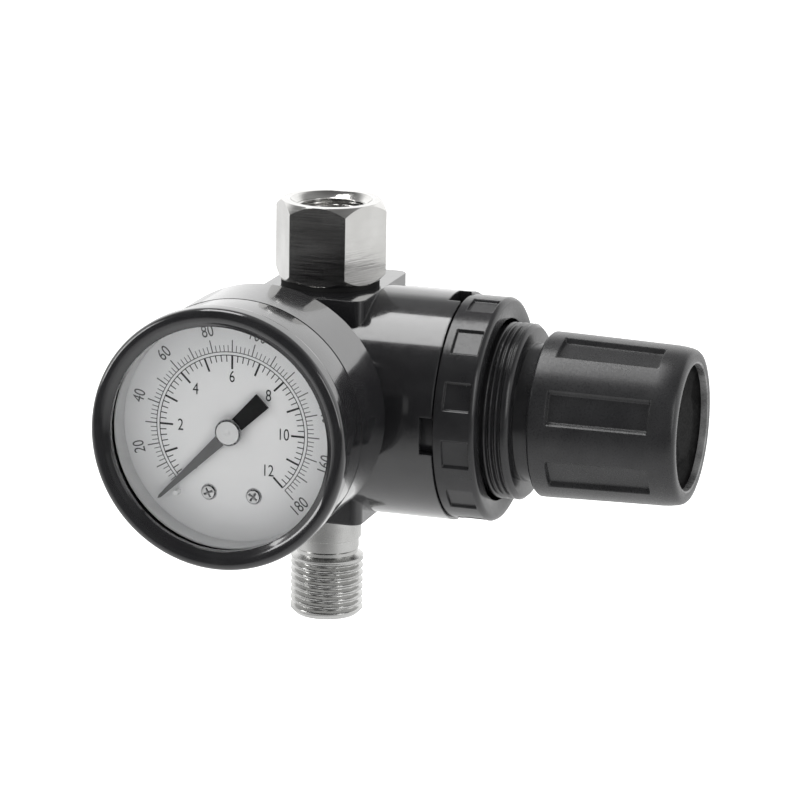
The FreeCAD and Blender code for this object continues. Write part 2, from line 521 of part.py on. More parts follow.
# ---------------------------------------------------------------- inlet and outlet
def inlet_group():
    washer = turned("inlet_washer_turned", [
        ("0", "port_thread"), ("0", "washer_radius"), ("washer_height", "washer_radius"),
        ("washer_height", "port_thread")], "pad_top", UP)
    node(washer, "inlet_washer")
    collar = "port_depth+washer_height"
    groove = "(nut_lip_to+fit_gap+snap_wire-pad_top+port_depth)"
    nose = "(spigot_top-pad_top+port_depth)"
    spigot = turned("spigot_turned", [
        ("0", "spigot_bore"), ("0", "port_thread-0.7"), ("0.7", "port_thread"), (collar, "port_thread"),
        (collar, "spigot_collar"), (collar + "+spigot_collar_height", "spigot_collar"),
        (collar + "+spigot_collar_height", "spigot_neck"), (groove + "-snap_wire", "spigot_neck"),
        (groove + "-snap_wire", "spigot_neck-snap_wire"), (groove + "+snap_wire", "spigot_neck-snap_wire"),
        (groove + "+snap_wire", "spigot_neck"), (nose + "-1.2", "spigot_neck"),
        (nose, "spigot_neck-1"), (nose, "spigot_bore")], "pad_top-port_depth", UP)
    node(spigot, "inlet_spigot")
    ring = ball_ring("snap_ring_torus", "spigot_neck", "snap_wire", "nut_lip_to+fit_gap+snap_wire", UP)
    node(ring, "inlet_snap_ring")

    bottom = "pad_top+washer_height+0.1"
    wide = "(nut_flats/2/cos(30)+0.3)"
    sleeve = turned("nut_turned", [
        ("0", "spigot_collar+0.15"), ("0", "nut_end+0.1"), ("nut_low_bevel", wide),
        ("nut_top-nut_top_bevel-(%s)" % bottom, wide), ("nut_top-(%s)" % bottom, "nut_end"),
        ("nut_top-(%s)" % bottom, "nut_mouth"),
        ("nut_top-nut_mouth_deep-(%s)" % bottom, "nut_thread"), ("nut_room_to-(%s)" % bottom, "nut_thread"),
        ("nut_room_to-(%s)" % bottom, "nut_room"), ("nut_lip_to-(%s)" % bottom, "nut_room"),
        ("nut_lip_to-(%s)" % bottom, "spigot_neck+fit_gap"),
        ("nut_lip_from-(%s)" % bottom, "spigot_neck+fit_gap"),
        ("nut_lip_from-(%s)" % bottom, "spigot_collar+0.15")], bottom, UP)
    bar = prism("nut_bar", "nut_flats", "nut_top-(%s)" % bottom, bottom, UP, corner=NUT_ANGLE)
    node(common("nut_common", sleeve, bar), "inlet_swivel_nut")


NUT_ANGLE = 2.8


def outlet_group():
    whole = "(outlet_end-pad_bottom+port_depth)"
    thread = "(outlet_end-pad_bottom+port_depth-thread_chamfer-outlet_thread_length)"
    relief = thread + "-relief_length"
    neck = relief + "-outlet_neck_length"
    nipple = turned("nipple_turned", [
        ("0", "outlet_bore"), ("0", "port_thread-0.7"), ("0.7", "port_thread"),
        ("port_depth-0.6", "port_thread"), ("port_depth", "outlet_collar"), (neck, "outlet_collar"),
        (neck + "+0.3", "outlet_neck"), (relief, "outlet_neck"), (relief + "+0.3", "relief_radius"),
        (thread + "-0.5", "relief_radius"), (thread, "port_thread"), (whole + "-thread_chamfer", "port_thread"),
        (whole, "port_thread-thread_chamfer"), (whole, "outlet_bore+0.5"), (whole + "-0.5", "outlet_bore")],
        "pad_bottom-port_depth", DOWN)
    node(nipple, "outlet_nipple")


# ---------------------------------------------------------------- gauge mounting
def gauge_mounting():
    gasket = turned("gasket_turned", [
        ("0", "gauge_thread"), ("0", "gasket_radius"), ("gasket_thick", "gasket_radius"),
        ("gasket_thick", "gauge_thread")], "boss_face", FRONT, GAUGE)
    node(gasket, "gauge_gasket")
    shank = rod("socket_shank", "gauge_thread", "boss_face+gasket_thick-gauge_port_to-1", "gauge_port_to+1",
                FRONT, GAUGE)
    bar = prism("socket_bar", "socket_flats", "case_back-boss_face-gasket_thick", "boss_face+gasket_thick",
                FRONT, GAUGE)
    neck = rod("socket_neck", "gauge_thread", "case_wall", "case_back", FRONT, GAUGE)
    head = block("socket_head", ("11", "movement_back-case_back-case_wall", "11"),
                 ("gauge_x-5.5", "-movement_back", "gauge_z-5.5"))
    reach = value("tube_radius") + 1.4
    arm_corners = [polar(3.5, SEAT_FROM + 90), polar(3.5, SEAT_FROM - 90)]
    tip = polar(reach, SEAT_FROM)
    arm_corners += [(right + tip[0], up + tip[1]) for right, up in reversed(arm_corners)]
    arm_back = value("tube_at") - 1
    arm = shaped("socket_arm", plate(arm_corners, arm_back, value("movement_back") - arm_back))
    seat = shaped("tube_seat", tube_shape(SEAT_FROM - 1.0, SEAT_FROM + 20.0, value("fit_gap")))
    node(cut("socket_cut", fuse("socket_solid", [shank, bar, neck, head, arm]), [
        rod("socket_bore", "1.5", "14", "gauge_port_to", FRONT, GAUGE), seat]), "gauge_socket")
    plug = turned("plug_turned", [
        ("0", "0"), ("0", "gauge_thread-0.5"), ("0.5", "gauge_thread"), ("7", "gauge_thread"),
        ("7", "plug_radius"), ("7+plug_head-0.6", "plug_radius"), ("7+plug_head", "plug_radius-0.6"),
        ("7+plug_head", "0")], "boss_face+gasket_thick-7", BACK, GAUGE)
    key = prism("plug_key_cut", "plug_key", "3.5", "boss_face+gasket_thick+plug_head-3.5", BACK, GAUGE)
    node(cut("plug_cut", plug, [key]), "rear_port_plug")
    washer = turned("rear_washer_turned", [
        ("0", "gauge_thread"), ("0", "plug_radius-0.2"), ("gasket_thick", "plug_radius-0.2"),
        ("gasket_thick", "gauge_thread")], "boss_face", BACK, GAUGE)
    node(washer, "rear_plug_washer")


SEAT_FROM = -60.0


# ---------------------------------------------------------------- gauge case
def gauge_case_group():
    cup = turned("case_turned", [
        ("0", "gauge_thread"), ("0", "case_radius-2"), ("0.6", "case_radius-0.6"), ("2", "case_radius"),
        ("case_seam-case_back", "case_radius"), ("case_seam-case_back", "case_radius-case_step"),
        ("case_front-case_back", "case_radius-case_step"),
        ("case_front-case_back", "dial_radius+0.2"), ("case_wall", "dial_radius+0.2"),
        ("case_wall", "gauge_thread")], "case_back", FRONT, GAUGE)
    node(cup, "gauge_case")
    skirt = "case_seam+0.15"
    bezel = turned("bezel_turned", [
        ("0", "case_radius-case_step+fit_gap"), ("0", "case_radius"),
        ("bezel_step-1-(%s)" % skirt, "case_radius"),
        ("bezel_step-(%s)" % skirt, "bezel_radius-0.3"), ("bezel_step+0.3-(%s)" % skirt, "bezel_radius"),
        ("bezel_front-1-(%s)" % skirt, "bezel_radius"), ("bezel_front-0.3-(%s)" % skirt, "bezel_radius-0.5"),
        ("bezel_front-(%s)" % skirt, "bezel_radius-1.3"), ("bezel_front-0.5-(%s)" % skirt, "bezel_opening+0.9"),
        ("bezel_front-1.1-(%s)" % skirt, "bezel_opening"),
        ("lens_back+lens_thick-(%s)" % skirt, "bezel_opening"),
        ("lens_back+lens_thick-(%s)" % skirt, "case_radius-case_step+fit_gap")], skirt, FRONT, GAUGE)
    node(bezel, "gauge_bezel")
    gasket = turned("lens_gasket_turned", [
        ("0", "dial_radius+0.2"), ("0", "case_radius-case_step"),
        ("lens_back-case_front", "case_radius-case_step"),
        ("lens_back-case_front", "dial_radius+0.2")], "case_front", FRONT, GAUGE)
    node(gasket, "lens_gasket")
    node(rod("lens_disc", "case_radius-case_step-0.05", "lens_thick", "lens_back", FRONT, GAUGE), "gauge_lens")
    face = rod("dial_disc", "dial_radius", "dial_thick", "dial_face-dial_thick", FRONT, GAUGE)
    holes = [rod("dial_hole_cut", "dial_hole", "2", "dial_face-1", FRONT, GAUGE)]
    for number, side in enumerate((-1, 1)):
        holes.append(rod("dial_screw_hole_%d" % number, "0.75", "2", "dial_face-1", FRONT, dial_place(side)))
    stop_place = ("gauge_x-stop_x", "0", "gauge_z-stop_z")
    holes.append(rod("stop_hole", "stop_radius", "2", "dial_face-1", FRONT, stop_place))
    node(cut("dial_cut", face, holes), "gauge_dial")
    node(rod("stop_pin", "stop_radius", "2.2", "dial_face-dial_thick", FRONT, stop_place), "zero_stop_pin")
    screws = []
    for number, side in enumerate((-1, 1)):
        screws.append(turned("dial_screw_%d" % number, [
            ("0", "0"), ("0", "0.7"), ("dial_face-movement_front", "0.7"),
            ("dial_face-movement_front", "dial_screw_head"),
            ("dial_face-movement_front+dial_screw_high*0.6", "dial_screw_head-0.15"),
            ("dial_face-movement_front+dial_screw_high", "dial_screw_head-0.7"),
            ("dial_face-movement_front+dial_screw_high", "0")], "movement_front", FRONT, dial_place(side)))
    pair = doc.addObject("Part::Compound", "dial_screw_pair")
    pair.Links = screws
    node(pair, "dial_screws")


def dial_place(side):
    return ("gauge_x+%d*dial_screw_x" % side, "0", "gauge_z-dial_screw_z")


# ---------------------------------------------------------------- gauge movement
def on_dial(right, up, distance):
    """A point of the gauge: right and up from its axis as seen from the front, at a distance outwards."""
    return Vector(value("gauge_x") + right, -distance, value("gauge_z") + up)


def plate(points, back, thick):
    """A flat plate parallel to the dial, from its outline seen from the front."""
    corners = [on_dial(right, up, back) for right, up in points]
    face = Part.Face(Part.makePolygon(corners + corners[:1]))
    return face.extrude(Vector(0, -thick, 0))


def pin(right, up, back, radius, length):
    return Part.makeCylinder(radius, length, on_dial(right, up, back), FRONT)


def polar(radius, angle):
    return radius * math.cos(math.radians(angle)), radius * math.sin(math.radians(angle))


def tooth_outline(centre, pitch_radius, pitch_angle, angles):
    """The outline of a run of trapezoid teeth at the given angles, seen from the front."""
    module = value("gear_module")
    tip = pitch_radius + 0.8 * module
    root = pitch_radius - 1.15 * module
    slack = 1.0 - value("tooth_slack")
    points = []
    for angle in angles:
        for radius, share in ((root, 0.34), (tip, 0.14), (tip, -0.14), (root, -0.34)):
            right, up = polar(radius, angle + share * slack * pitch_angle)
            points.append((centre[0] + right, centre[1] + up))
    return points


def tube_shape(first, last, gap=0.0):
    """The flattened tube's arc between two angles about the gauge axis, grown by a gap all round."""
    radius = value("tube_radius")
    deep = value("tube_deep") + 2 * gap
    wide = value("tube_wide") + 2 * gap
    centre = on_dial(0, 0, value("tube_at") - gap)
    outer = Part.makeCylinder(radius + deep / 2, wide, centre, FRONT)
    inner = Part.makeCylinder(radius - deep / 2, wide, centre, FRONT)
    ring = outer.cut(inner)
    wedge_points = [(0, 0)]
    steps = 12
    for step in range(steps + 1):
        wedge_points.append(polar(2 * radius, first + (last - first) * step / steps))
    return ring.common(plate(wedge_points, value("tube_at") - 1, wide + 2))


TUBE_TO = 215.0
SECTOR_UP = 90.0


def movement_group():
    back = value("movement_back")
    thick = value("movement_plate")
    front = value("movement_front")
    outline = [(-6.3, 4.2), (6.3, 4.2), (6.3, -13.2), (-6.3, -13.2)]
    distance = value("gear_module*(pinion_teeth+sector_teeth)/2")
    gap = value("stem_gap")
    arbor = value("arbor_radius")
    posts = [(-5.2, 3.1), (5.2, 3.1), (5.2, -12.2)]
    for label, at in (("movement_back_plate", back), ("movement_front_plate", front - thick)):
        shape = plate(outline, at, thick)
        for right, up in ((0, 0), (0, -distance)):
            shape = shape.cut(pin(right, up, at - 1, arbor + gap, thick + 2))
        if label == "movement_front_plate":
            for side in (-1, 1):
                right, up = side * value("dial_screw_x"), -value("dial_screw_z")
                shape = shape.cut(pin(right, up, at - 1, 0.7, thick + 2))
        node(shaped(label + "_shape", shape), label)
    pillars = [pin(right, up, back + thick, 0.9, front - back - 2 * thick) for right, up in posts]
    node(shaped("pillar_shapes", Part.makeCompound(pillars)), "movement_posts")

    # pinion and its arbor carry the pointer
    teeth = round(value("pinion_teeth"))
    step = 360.0 / teeth
    gear_at = value("gear_at")
    gear_thick = value("gear_thick")
    pitch = value("gear_module*pinion_teeth/2")
    angles = [-SECTOR_UP - step * number for number in range(teeth)]
    pinion = plate(tooth_outline((0, 0), pitch, step, angles), gear_at - 0.3, gear_thick + 0.6)
    arbor_length = value("pointer_at+pointer_thick+0.3") - back
    node(shaped("pinion_shape", pinion.fuse(pin(0, 0, back, arbor, arbor_length))), "pinion_arbor")

    # the sector's teeth run to the right of the pinion, because it turns to the left as pressure rises
    sector_step = 360.0 / value("sector_teeth")
    sector_pitch = value("gear_module*sector_teeth/2")
    centre = (0.0, -distance)
    angles = [SECTOR_UP + sector_step * (1.5 - number) for number in range(10)]
    toothed = tooth_outline(centre, sector_pitch, sector_step, angles)
    spokes = [polar(2.0, angle) for angle in (20, -40, -100, -160, 160)]
    hub = [(centre[0] + right, centre[1] + up) for right, up in spokes]
    sector = plate(toothed + hub, gear_at, gear_thick)
    lever = value("tail_lever")
    tail_corners = [(0, -distance + 1.1), (0, -distance - 1.1), (-lever, -distance - 2.4),
                    (-lever, -distance - 0.6)]
    tail = plate(tail_corners, gear_at, gear_thick)
    sector = sector.fuse(tail).fuse(pin(-lever + 0.4, -distance - 1.5, gear_at, 1.2, gear_thick))
    sector = sector.cut(pin(0, -distance, gear_at - 1, arbor, gear_thick + 2))
    node(shaped("sector_shape", sector), "sector_gear")
    node(shaped("sector_arbor_shape", pin(0, -distance, back, arbor, front - back)), "sector_arbor")
    link_at = gear_at + gear_thick + 0.05
    link_from = (-lever + 0.4, -distance - 1.5)
    link_to = polar(value("tube_radius"), TUBE_TO - 3)
    link = plate([(link_from[0], link_from[1] + 0.5), (link_from[0], link_from[1] - 0.5),
                  (link_to[0], link_to[1] - 0.5), (link_to[0], link_to[1] + 0.5)], link_at, 0.5)
    link = link.fuse(pin(*link_from, link_at, 1.0, 0.5)).fuse(pin(*link_to, link_at, 1.0, 0.5))
    node(shaped("link_shape", link), "tip_link")

    tube = tube_shape(SEAT_FROM, TUBE_TO)
    node(shaped("tube_arc", tube), "bourdon_tube")
    tube_front = value("tube_at+tube_wide")
    tip = pin(*link_to, tube_front, 1.0, link_at - 0.1 - tube_front)
    node(shaped("tip_shape", tip), "tube_tip_post")

    # pointer at the zero mark, with its counterweight tail
    at = value("pointer_at")
    zero = 225.0
    length = value("pointer_length")
    tail_length = value("pointer_tail")
    blade = [(1.15, 90), (length - 0.6, 0.9), (length, 0), (length - 0.6, -0.9), (1.15, -90),
             (tail_length, -169.5), (tail_length, 169.5)]
    shape = plate([polar(radius, zero + angle) for radius, angle in blade], at, value("pointer_thick"))
    shape = shape.fuse(pin(0, 0, at - 0.6, 1.25, value("pointer_thick") + 0.6))
    shape = shape.cut(pin(0, 0, at - 1, arbor, 3))
    node(shaped("pointer_shape", shape), "pointer")
    cap = turned("pointer_cap_turned", [
        ("0", "arbor_radius"), ("0", "hub_cap_radius"), ("hub_cap_thick-0.2", "hub_cap_radius"),
        ("hub_cap_thick", "hub_cap_radius-0.25"), ("hub_cap_thick", "0"), ("hub_cap_thick-0.35", "0"),
        ("hub_cap_thick-0.35", "arbor_radius")],
        "pointer_at+pointer_thick", FRONT, GAUGE)
    node(cap, "pointer_cap")

    # hairspring: a flat spiral behind the front plate
    turns = 3.5
    spiral = []
    steps = 84
    for number in range(steps + 1):
        angle = 360.0 * turns * number / steps
        spiral.append(polar(1.4 + 2.6 * number / steps, angle))
    back_side = [polar(1.52 + 2.6 * number / steps, 360.0 * turns * number / steps)
                 for number in range(steps, -1, -1)]
    node(shaped("hairspring_shape", plate(spiral + back_side, gear_at + gear_thick + 0.9, 0.5)), "hairspring")


valve_body()
valve_cap()
poppet_group()
diaphragm_group()
bonnet_group()
adjusting_group()
knob_group()
inlet_group()
outlet_group()
gauge_mounting()
gauge_case_group()
movement_group()
doc.recompute()

# ---------------------------------------------------------------- checks and export
faults = []
for item in doc.Objects:
    if "Invalid" in item.State or "Error" in item.State:
        faults.append("%s is %s" % (item.Name, item.State))
for item in nodes:
    if item.Shape.isNull() or not item.Shape.isValid() or not item.Shape.Solids:
        faults.append("%s has no valid shape" % item.Label)
if faults:
    raise SystemExit("\n".join(faults))
os.makedirs("parts", exist_ok=True)
for item in nodes:
    item.Shape.exportStep("parts/%s.step" % item.Label)
    box = item.Shape.BoundBox
    print("%-22s %d solid(s) %9.1f mm3  x %6.2f..%6.2f  y %6.2f..%6.2f  z %6.2f..%6.2f" % (
        item.Label, len(item.Shape.Solids), item.Shape.Volume, box.XMin, box.XMax, box.YMin, box.YMax,
        box.ZMin, box.ZMax))
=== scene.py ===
import math
from collections import namedtuple

import bmesh
import bpy
from mathutils import Matrix, Vector


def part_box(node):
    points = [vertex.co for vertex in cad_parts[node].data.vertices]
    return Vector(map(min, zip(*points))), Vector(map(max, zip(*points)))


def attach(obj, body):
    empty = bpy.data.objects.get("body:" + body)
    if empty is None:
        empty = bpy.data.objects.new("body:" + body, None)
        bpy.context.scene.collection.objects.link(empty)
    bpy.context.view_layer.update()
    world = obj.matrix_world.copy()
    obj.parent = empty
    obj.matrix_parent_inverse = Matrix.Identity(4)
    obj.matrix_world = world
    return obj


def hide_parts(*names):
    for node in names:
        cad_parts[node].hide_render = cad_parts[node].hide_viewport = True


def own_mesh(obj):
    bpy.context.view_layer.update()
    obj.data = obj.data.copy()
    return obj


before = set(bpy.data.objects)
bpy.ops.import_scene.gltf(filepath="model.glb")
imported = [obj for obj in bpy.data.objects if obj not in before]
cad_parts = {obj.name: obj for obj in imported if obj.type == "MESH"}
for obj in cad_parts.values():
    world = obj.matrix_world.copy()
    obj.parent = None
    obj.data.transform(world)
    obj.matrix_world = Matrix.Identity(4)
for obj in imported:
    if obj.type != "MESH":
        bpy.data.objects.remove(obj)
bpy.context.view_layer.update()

MM = 0.001
TAU = 2 * math.pi

# Places in the CAD model's frame, in millimetres.
AXIS_Z = 40.1  # height of the regulator's axis, which crosses the ports' axis at x = y = 0
GAUGE_X = -2.7  # the gauge's axis, which runs toward -y
GAUGE_Z = AXIS_Z + 3.45
DIAL_FACE = 43.2  # distance of the dial's face along the gauge's axis


# ---------------------------------------------------------------- frames that pieces are turned in
def knob_frame(distance, radius, angle):
    """A point at a distance along the knob's axis; the angle runs from the front toward the top."""
    return Vector((distance, -radius * math.cos(angle), AXIS_Z + radius * math.sin(angle)))


def port_frame(height, radius, angle):
    """A point about the ports' axis; the height is above the regulator's axis."""
    return Vector((radius * math.cos(angle), radius * math.sin(angle), AXIS_Z + height))


def gauge_frame(distance, radius, angle):
    """A point about the gauge's axis, out toward its front; the angle is counted from the right."""
    return Vector((GAUGE_X + radius * math.cos(angle), -distance, GAUGE_Z + radius * math.sin(angle)))


def outlet_frame(distance, radius, angle):
    """A point about the outlet's axis, at a distance down from the regulator's axis."""
    return Vector((radius * math.cos(angle), -radius * math.sin(angle), AXIS_Z - distance))


# ---------------------------------------------------------------- mesh helpers
MERGE = 1e-7  # metres


def finish_piece(name, vertices, faces, body, material, replaced=(), sharp=32.0):
    """A piece from vertices in millimetres; its edges look sharp past an angle in degrees."""
    mesh = bpy.data.meshes.new(name)
    mesh.from_pydata([v * MM for v in vertices], [], faces)
    made = bmesh.new()
    made.from_mesh(mesh)
    bmesh.ops.remove_doubles(made, verts=made.verts, dist=MERGE)
    bmesh.ops.recalc_face_normals(made, faces=made.faces)
    made.to_mesh(mesh)
    made.free()
    piece = bpy.data.objects.new(name, mesh)
    bpy.context.scene.collection.objects.link(piece)
    mesh.materials.append(material)
    shade(mesh, sharp)
    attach(piece, body)
    if replaced:
        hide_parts(*replaced)
    return piece


def shade(mesh, sharp):
    """Smooth shading with sharp edges past an angle in degrees."""
    mesh.set_sharp_from_angle(angle=math.radians(sharp))
    for face in mesh.polygons:
        face.use_smooth = True


def surface(rows, closed_rows=True):
    """Vertices and faces of a grid of rows that each close on themselves; closed_rows joins last to first."""
    count = len(rows[0])
    vertices = [point for row in rows for point in row]
    faces = []
    last = len(rows) if closed_rows else len(rows) - 1
    for first in range(last):
        second = (first + 1) % len(rows)
        for step in range(count):
            following = (step + 1) % count
            faces.append((first * count + step, first * count + following,
                          second * count + following, second * count + step))
    return vertices, faces


def rounded(outline, edges):
    """The closed outline with its corners rounded; edges gives each corner's radius, 0 for a sharp one."""
    largest_share = 0.45  # of the shorter side beside a corner
    steps = 5
    points = []
    count = len(outline)
    for index, (corner, radius) in enumerate(zip(outline, edges)):
        here = Vector(corner)
        before = Vector(outline[index - 1]) - here
        after = Vector(outline[(index + 1) % count]) - here
        reach = min(radius, before.length * largest_share, after.length * largest_share)
        if reach < 1e-6:
            points.append(tuple(here))
            continue
        start = here + before.normalized() * reach
        end = here + after.normalized() * reach
        for step in range(steps + 1):
            part = step / steps
            spot = start * (1 - part) ** 2 + here * 2 * part * (1 - part) + end * part ** 2
            points.append(tuple(spot))
    return points


def lathe(name, outline, place, body, material, replaced=(), edge=0.2, around=192, change=None):
    """A piece turned from (distance, radius) corners; change(distance, radius, angle) gives a new radius.

    edge is one radius for all corners, or a list of them; around is a count of angles, or a list of them.
    """
    edges = [edge] * len(outline) if isinstance(edge, float) else edge
    angles = around if isinstance(around, list) else [TAU * step / around for step in range(around)]
    rows = []
    for distance, radius in rounded(outline, edges):
        row = []
        for angle in angles:
            cut = change(distance, radius, angle) if change else radius
            row.append(place(distance, cut, angle))
        rows.append(row)
    vertices, faces = surface(rows)
    return finish_piece(name, vertices, faces, body, material, replaced)


def smooth_step(value):
    """0 up to 0, 1 from 1 on, and a smooth rise between them."""
    value = max(0.0, min(1.0, value))
    return value * value * (3 - 2 * value)


# ---------------------------------------------------------------- materials
def find(tree, kind):
    return next(node for node in tree.nodes if node.type == kind)


def new_material(name):
    material = bpy.data.materials.new(name)
    material.use_nodes = True
    tree = material.node_tree
    return material, tree, find(tree, "BSDF_PRINCIPLED")


def add(tree, kind, **values):
    """A new node; each value goes to the socket of that name, or else to the node's own setting."""
    node = tree.nodes.new(kind)
    for name, value in values.items():
        if name in node.inputs:
            node.inputs[name].default_value = value
        else:
            setattr(node, name, value)
    return node


def blend(tree, share, first, second):
    """A mix of two shaders: all first at a share of 0, all second at 1."""
    mixed = add(tree, "ShaderNodeMixShader")
    tree.links.new(share, mixed.inputs["Fac"])
    tree.links.new(first, mixed.inputs[1])
    tree.links.new(second, mixed.inputs[2])
    return mixed.outputs["Shader"]


def noise(tree, scale, detail=3.0, stretch=(1, 1, 1)):
    where = add(tree, "ShaderNodeTexCoord")
    stretched = add(tree, "ShaderNodeMapping")
    stretched.inputs["Scale"].default_value = stretch
    node = add(tree, "ShaderNodeTexNoise", Scale=scale, Detail=detail)
    tree.links.new(where.outputs["Object"], stretched.inputs["Vector"])
    tree.links.new(stretched.outputs["Vector"], node.inputs["Vector"])
    return node.outputs["Fac"]


def spread(tree, source, low, high, start=0.3, stop=0.7):
    """The source, mapped from start and stop to low and high."""
    node = add(tree, "ShaderNodeMapRange")
    node.inputs["From Min"].default_value = start
    node.inputs["From Max"].default_value = stop
    node.inputs["To Min"].default_value = low
    node.inputs["To Max"].default_value = high
    tree.links.new(source, node.inputs["Value"])
    return node.outputs["Result"]


def tint(tree, source, dark, light):
    """A colour that follows the source, from dark at 0.3 to light at 0.7."""
    ramp = add(tree, "ShaderNodeValToRGB")
    for element, position, colour in zip(ramp.color_ramp.elements, (0.3, 0.7), (dark, light)):
        element.position = position
        element.color = (*colour, 1)
    tree.links.new(source, ramp.inputs["Fac"])
    return ramp.outputs["Color"]


def relief(tree, shader, source, height, edge=0.0):
    """Bumps of a height in millimetres; edge is the radius that sharp edges seem to have."""
    bump = add(tree, "ShaderNodeBump", Strength=1.0, Distance=height * MM)
    tree.links.new(source, bump.inputs["Height"])
    if edge:
        bevel = add(tree, "ShaderNodeBevel", Radius=edge * MM)
        tree.links.new(bevel.outputs["Normal"], bump.inputs["Normal"])
    tree.links.new(bump.outputs["Normal"], shader.inputs["Normal"])


def surface_material(name, dark, light, rough, grain, height, metallic=0.0, edge=0.0, coat=0.0, specular=0.5):
    """A finish with slow colour variation, uneven roughness and a fine relief.

    dark and light are its colours, rough its two roughnesses, grain the relief's scale, height and edge as in
    relief().
    """
    material, tree, shader = new_material(name)
    slow = noise(tree, 180, 3)
    fine = noise(tree, grain, 4)
    tree.links.new(tint(tree, slow, dark, light), shader.inputs["Base Color"])
    tree.links.new(spread(tree, fine, *rough), shader.inputs["Roughness"])
    shader.inputs["Metallic"].default_value = metallic
    shader.inputs["Specular IOR Level"].default_value = specular
    if coat:
        shader.inputs["Coat Weight"].default_value = coat
        shader.inputs["Coat Roughness"].default_value = 0.06
    relief(tree, shader, fine, height, edge)
    return material


ENAMEL = surface_material(
    "gloss_black_enamel", dark=(0.010, 0.010, 0.011), light=(0.016, 0.016, 0.017),
    rough=(0.10, 0.20), grain=700, height=0.005, edge=0.45, coat=0.8)
PLASTIC = surface_material(
    "moulded_black_plastic", dark=(0.014, 0.014, 0.015), light=(0.022, 0.022, 0.023),
    rough=(0.24, 0.36), grain=2600, height=0.004, edge=0.22)
RING_PLASTIC = surface_material(
    "glossy_black_plastic", dark=(0.012, 0.012, 0.013), light=(0.019, 0.019, 0.020),
    rough=(0.14, 0.26), grain=1500, height=0.005, edge=0.22)
# dull, and painted darker than the knob's plastic as painted shade, so that the knob's recess stays dark
MATT_PLASTIC_PAINTED_SHADE = surface_material(
    "matt_black_painted_shade", dark=(0.004, 0.004, 0.004), light=(0.007, 0.007, 0.007),
    rough=(0.5, 0.7), grain=2600, height=0.004, specular=0.03)
# a light grey over a real grain: painted light where the knob's recess wall catches the light
GRAINED_PAINTED_LIGHT = surface_material(
    "grained_plastic_painted_light", dark=(0.05, 0.05, 0.05), light=(0.26, 0.26, 0.26),
    rough=(0.2, 0.4), grain=2600, height=0.05)
CASE_PAINT = surface_material(
    "gauge_black_enamel", dark=(0.010, 0.010, 0.011), light=(0.016, 0.016, 0.017),
    rough=(0.10, 0.18), grain=500, height=0.003, edge=0.25, coat=0.8)
NICKEL = surface_material(
    "bright_nickel", dark=(0.56, 0.555, 0.54), light=(0.68, 0.675, 0.66),
    rough=(0.14, 0.26), grain=1400, height=0.004, metallic=1.0, edge=0.12)
SATIN_NICKEL = surface_material(
    "satin_nickel", dark=(0.48, 0.48, 0.47), light=(0.60, 0.60, 0.59),
    rough=(0.20, 0.30), grain=900, height=0.002, metallic=1.0)
BRASS = surface_material(
    "machined_brass", dark=(0.52, 0.37, 0.16), light=(0.64, 0.47, 0.22),
    rough=(0.18, 0.32), grain=1500, height=0.004, metallic=1.0, edge=0.08)
STEEL = surface_material(
    "plated_steel", dark=(0.46, 0.46, 0.47), light=(0.58, 0.58, 0.59),
    rough=(0.18, 0.34), grain=1600, height=0.004, metallic=1.0, edge=0.08)
RUBBER = surface_material(
    "nitrile_rubber", dark=(0.012, 0.012, 0.012), light=(0.020, 0.020, 0.020),
    rough=(0.5, 0.7), grain=2200, height=0.008, edge=0.1, specular=0.03)
PRINT = surface_material(
    "printed_black", dark=(0.02, 0.02, 0.021), light=(0.04, 0.04, 0.041),
    rough=(0.5, 0.6), grain=3000, height=0.0005)
GREY_PRINT = surface_material(
    "printed_grey", dark=(0.09, 0.09, 0.092), light=(0.13, 0.13, 0.132),
    rough=(0.5, 0.6), grain=3000, height=0.0005)
# near-white with little metal: a painted reflection of bright polished metal, over a slight real sheen
POLISHED_PAINTED_REFLECTION = surface_material(
    "bright_metal_painted_reflection", dark=(0.90, 0.90, 0.90), light=(0.97, 0.97, 0.97),
    rough=(0.16, 0.26), grain=2500, height=0.001, metallic=0.18, edge=0.05)
LINER = surface_material(
    "white_liner", dark=(0.74, 0.745, 0.75), light=(0.80, 0.80, 0.80),
    rough=(0.4, 0.5), grain=2000, height=0.001)


def nut_material():
    """Bright nickel over turned and milled flats: fine level lines, crossed by faint upright marks."""
    material, tree, shader = new_material("machined_nickel")
    lines = noise(tree, 300, 4, stretch=(0.5, 0.5, 11))
    marks = noise(tree, 240, 3, stretch=(8, 8, 0.6))
    patches = noise(tree, 120, 2)
    marks_share = 0.35
    mixed = add(tree, "ShaderNodeMath", operation="MULTIPLY_ADD")
    tree.links.new(marks, mixed.inputs[0])
    mixed.inputs[1].default_value = marks_share
    tree.links.new(lines, mixed.inputs[2])
    tree.links.new(tint(tree, patches, (0.60, 0.595, 0.58), (0.74, 0.735, 0.72)), shader.inputs["Base Color"])
    tree.links.new(spread(tree, lines, 0.08, 0.24), shader.inputs["Roughness"])
    shader.inputs["Metallic"].default_value = 1.0
    relief(tree, shader, mixed.outputs["Value"], 0.014, 0.16)
    return material


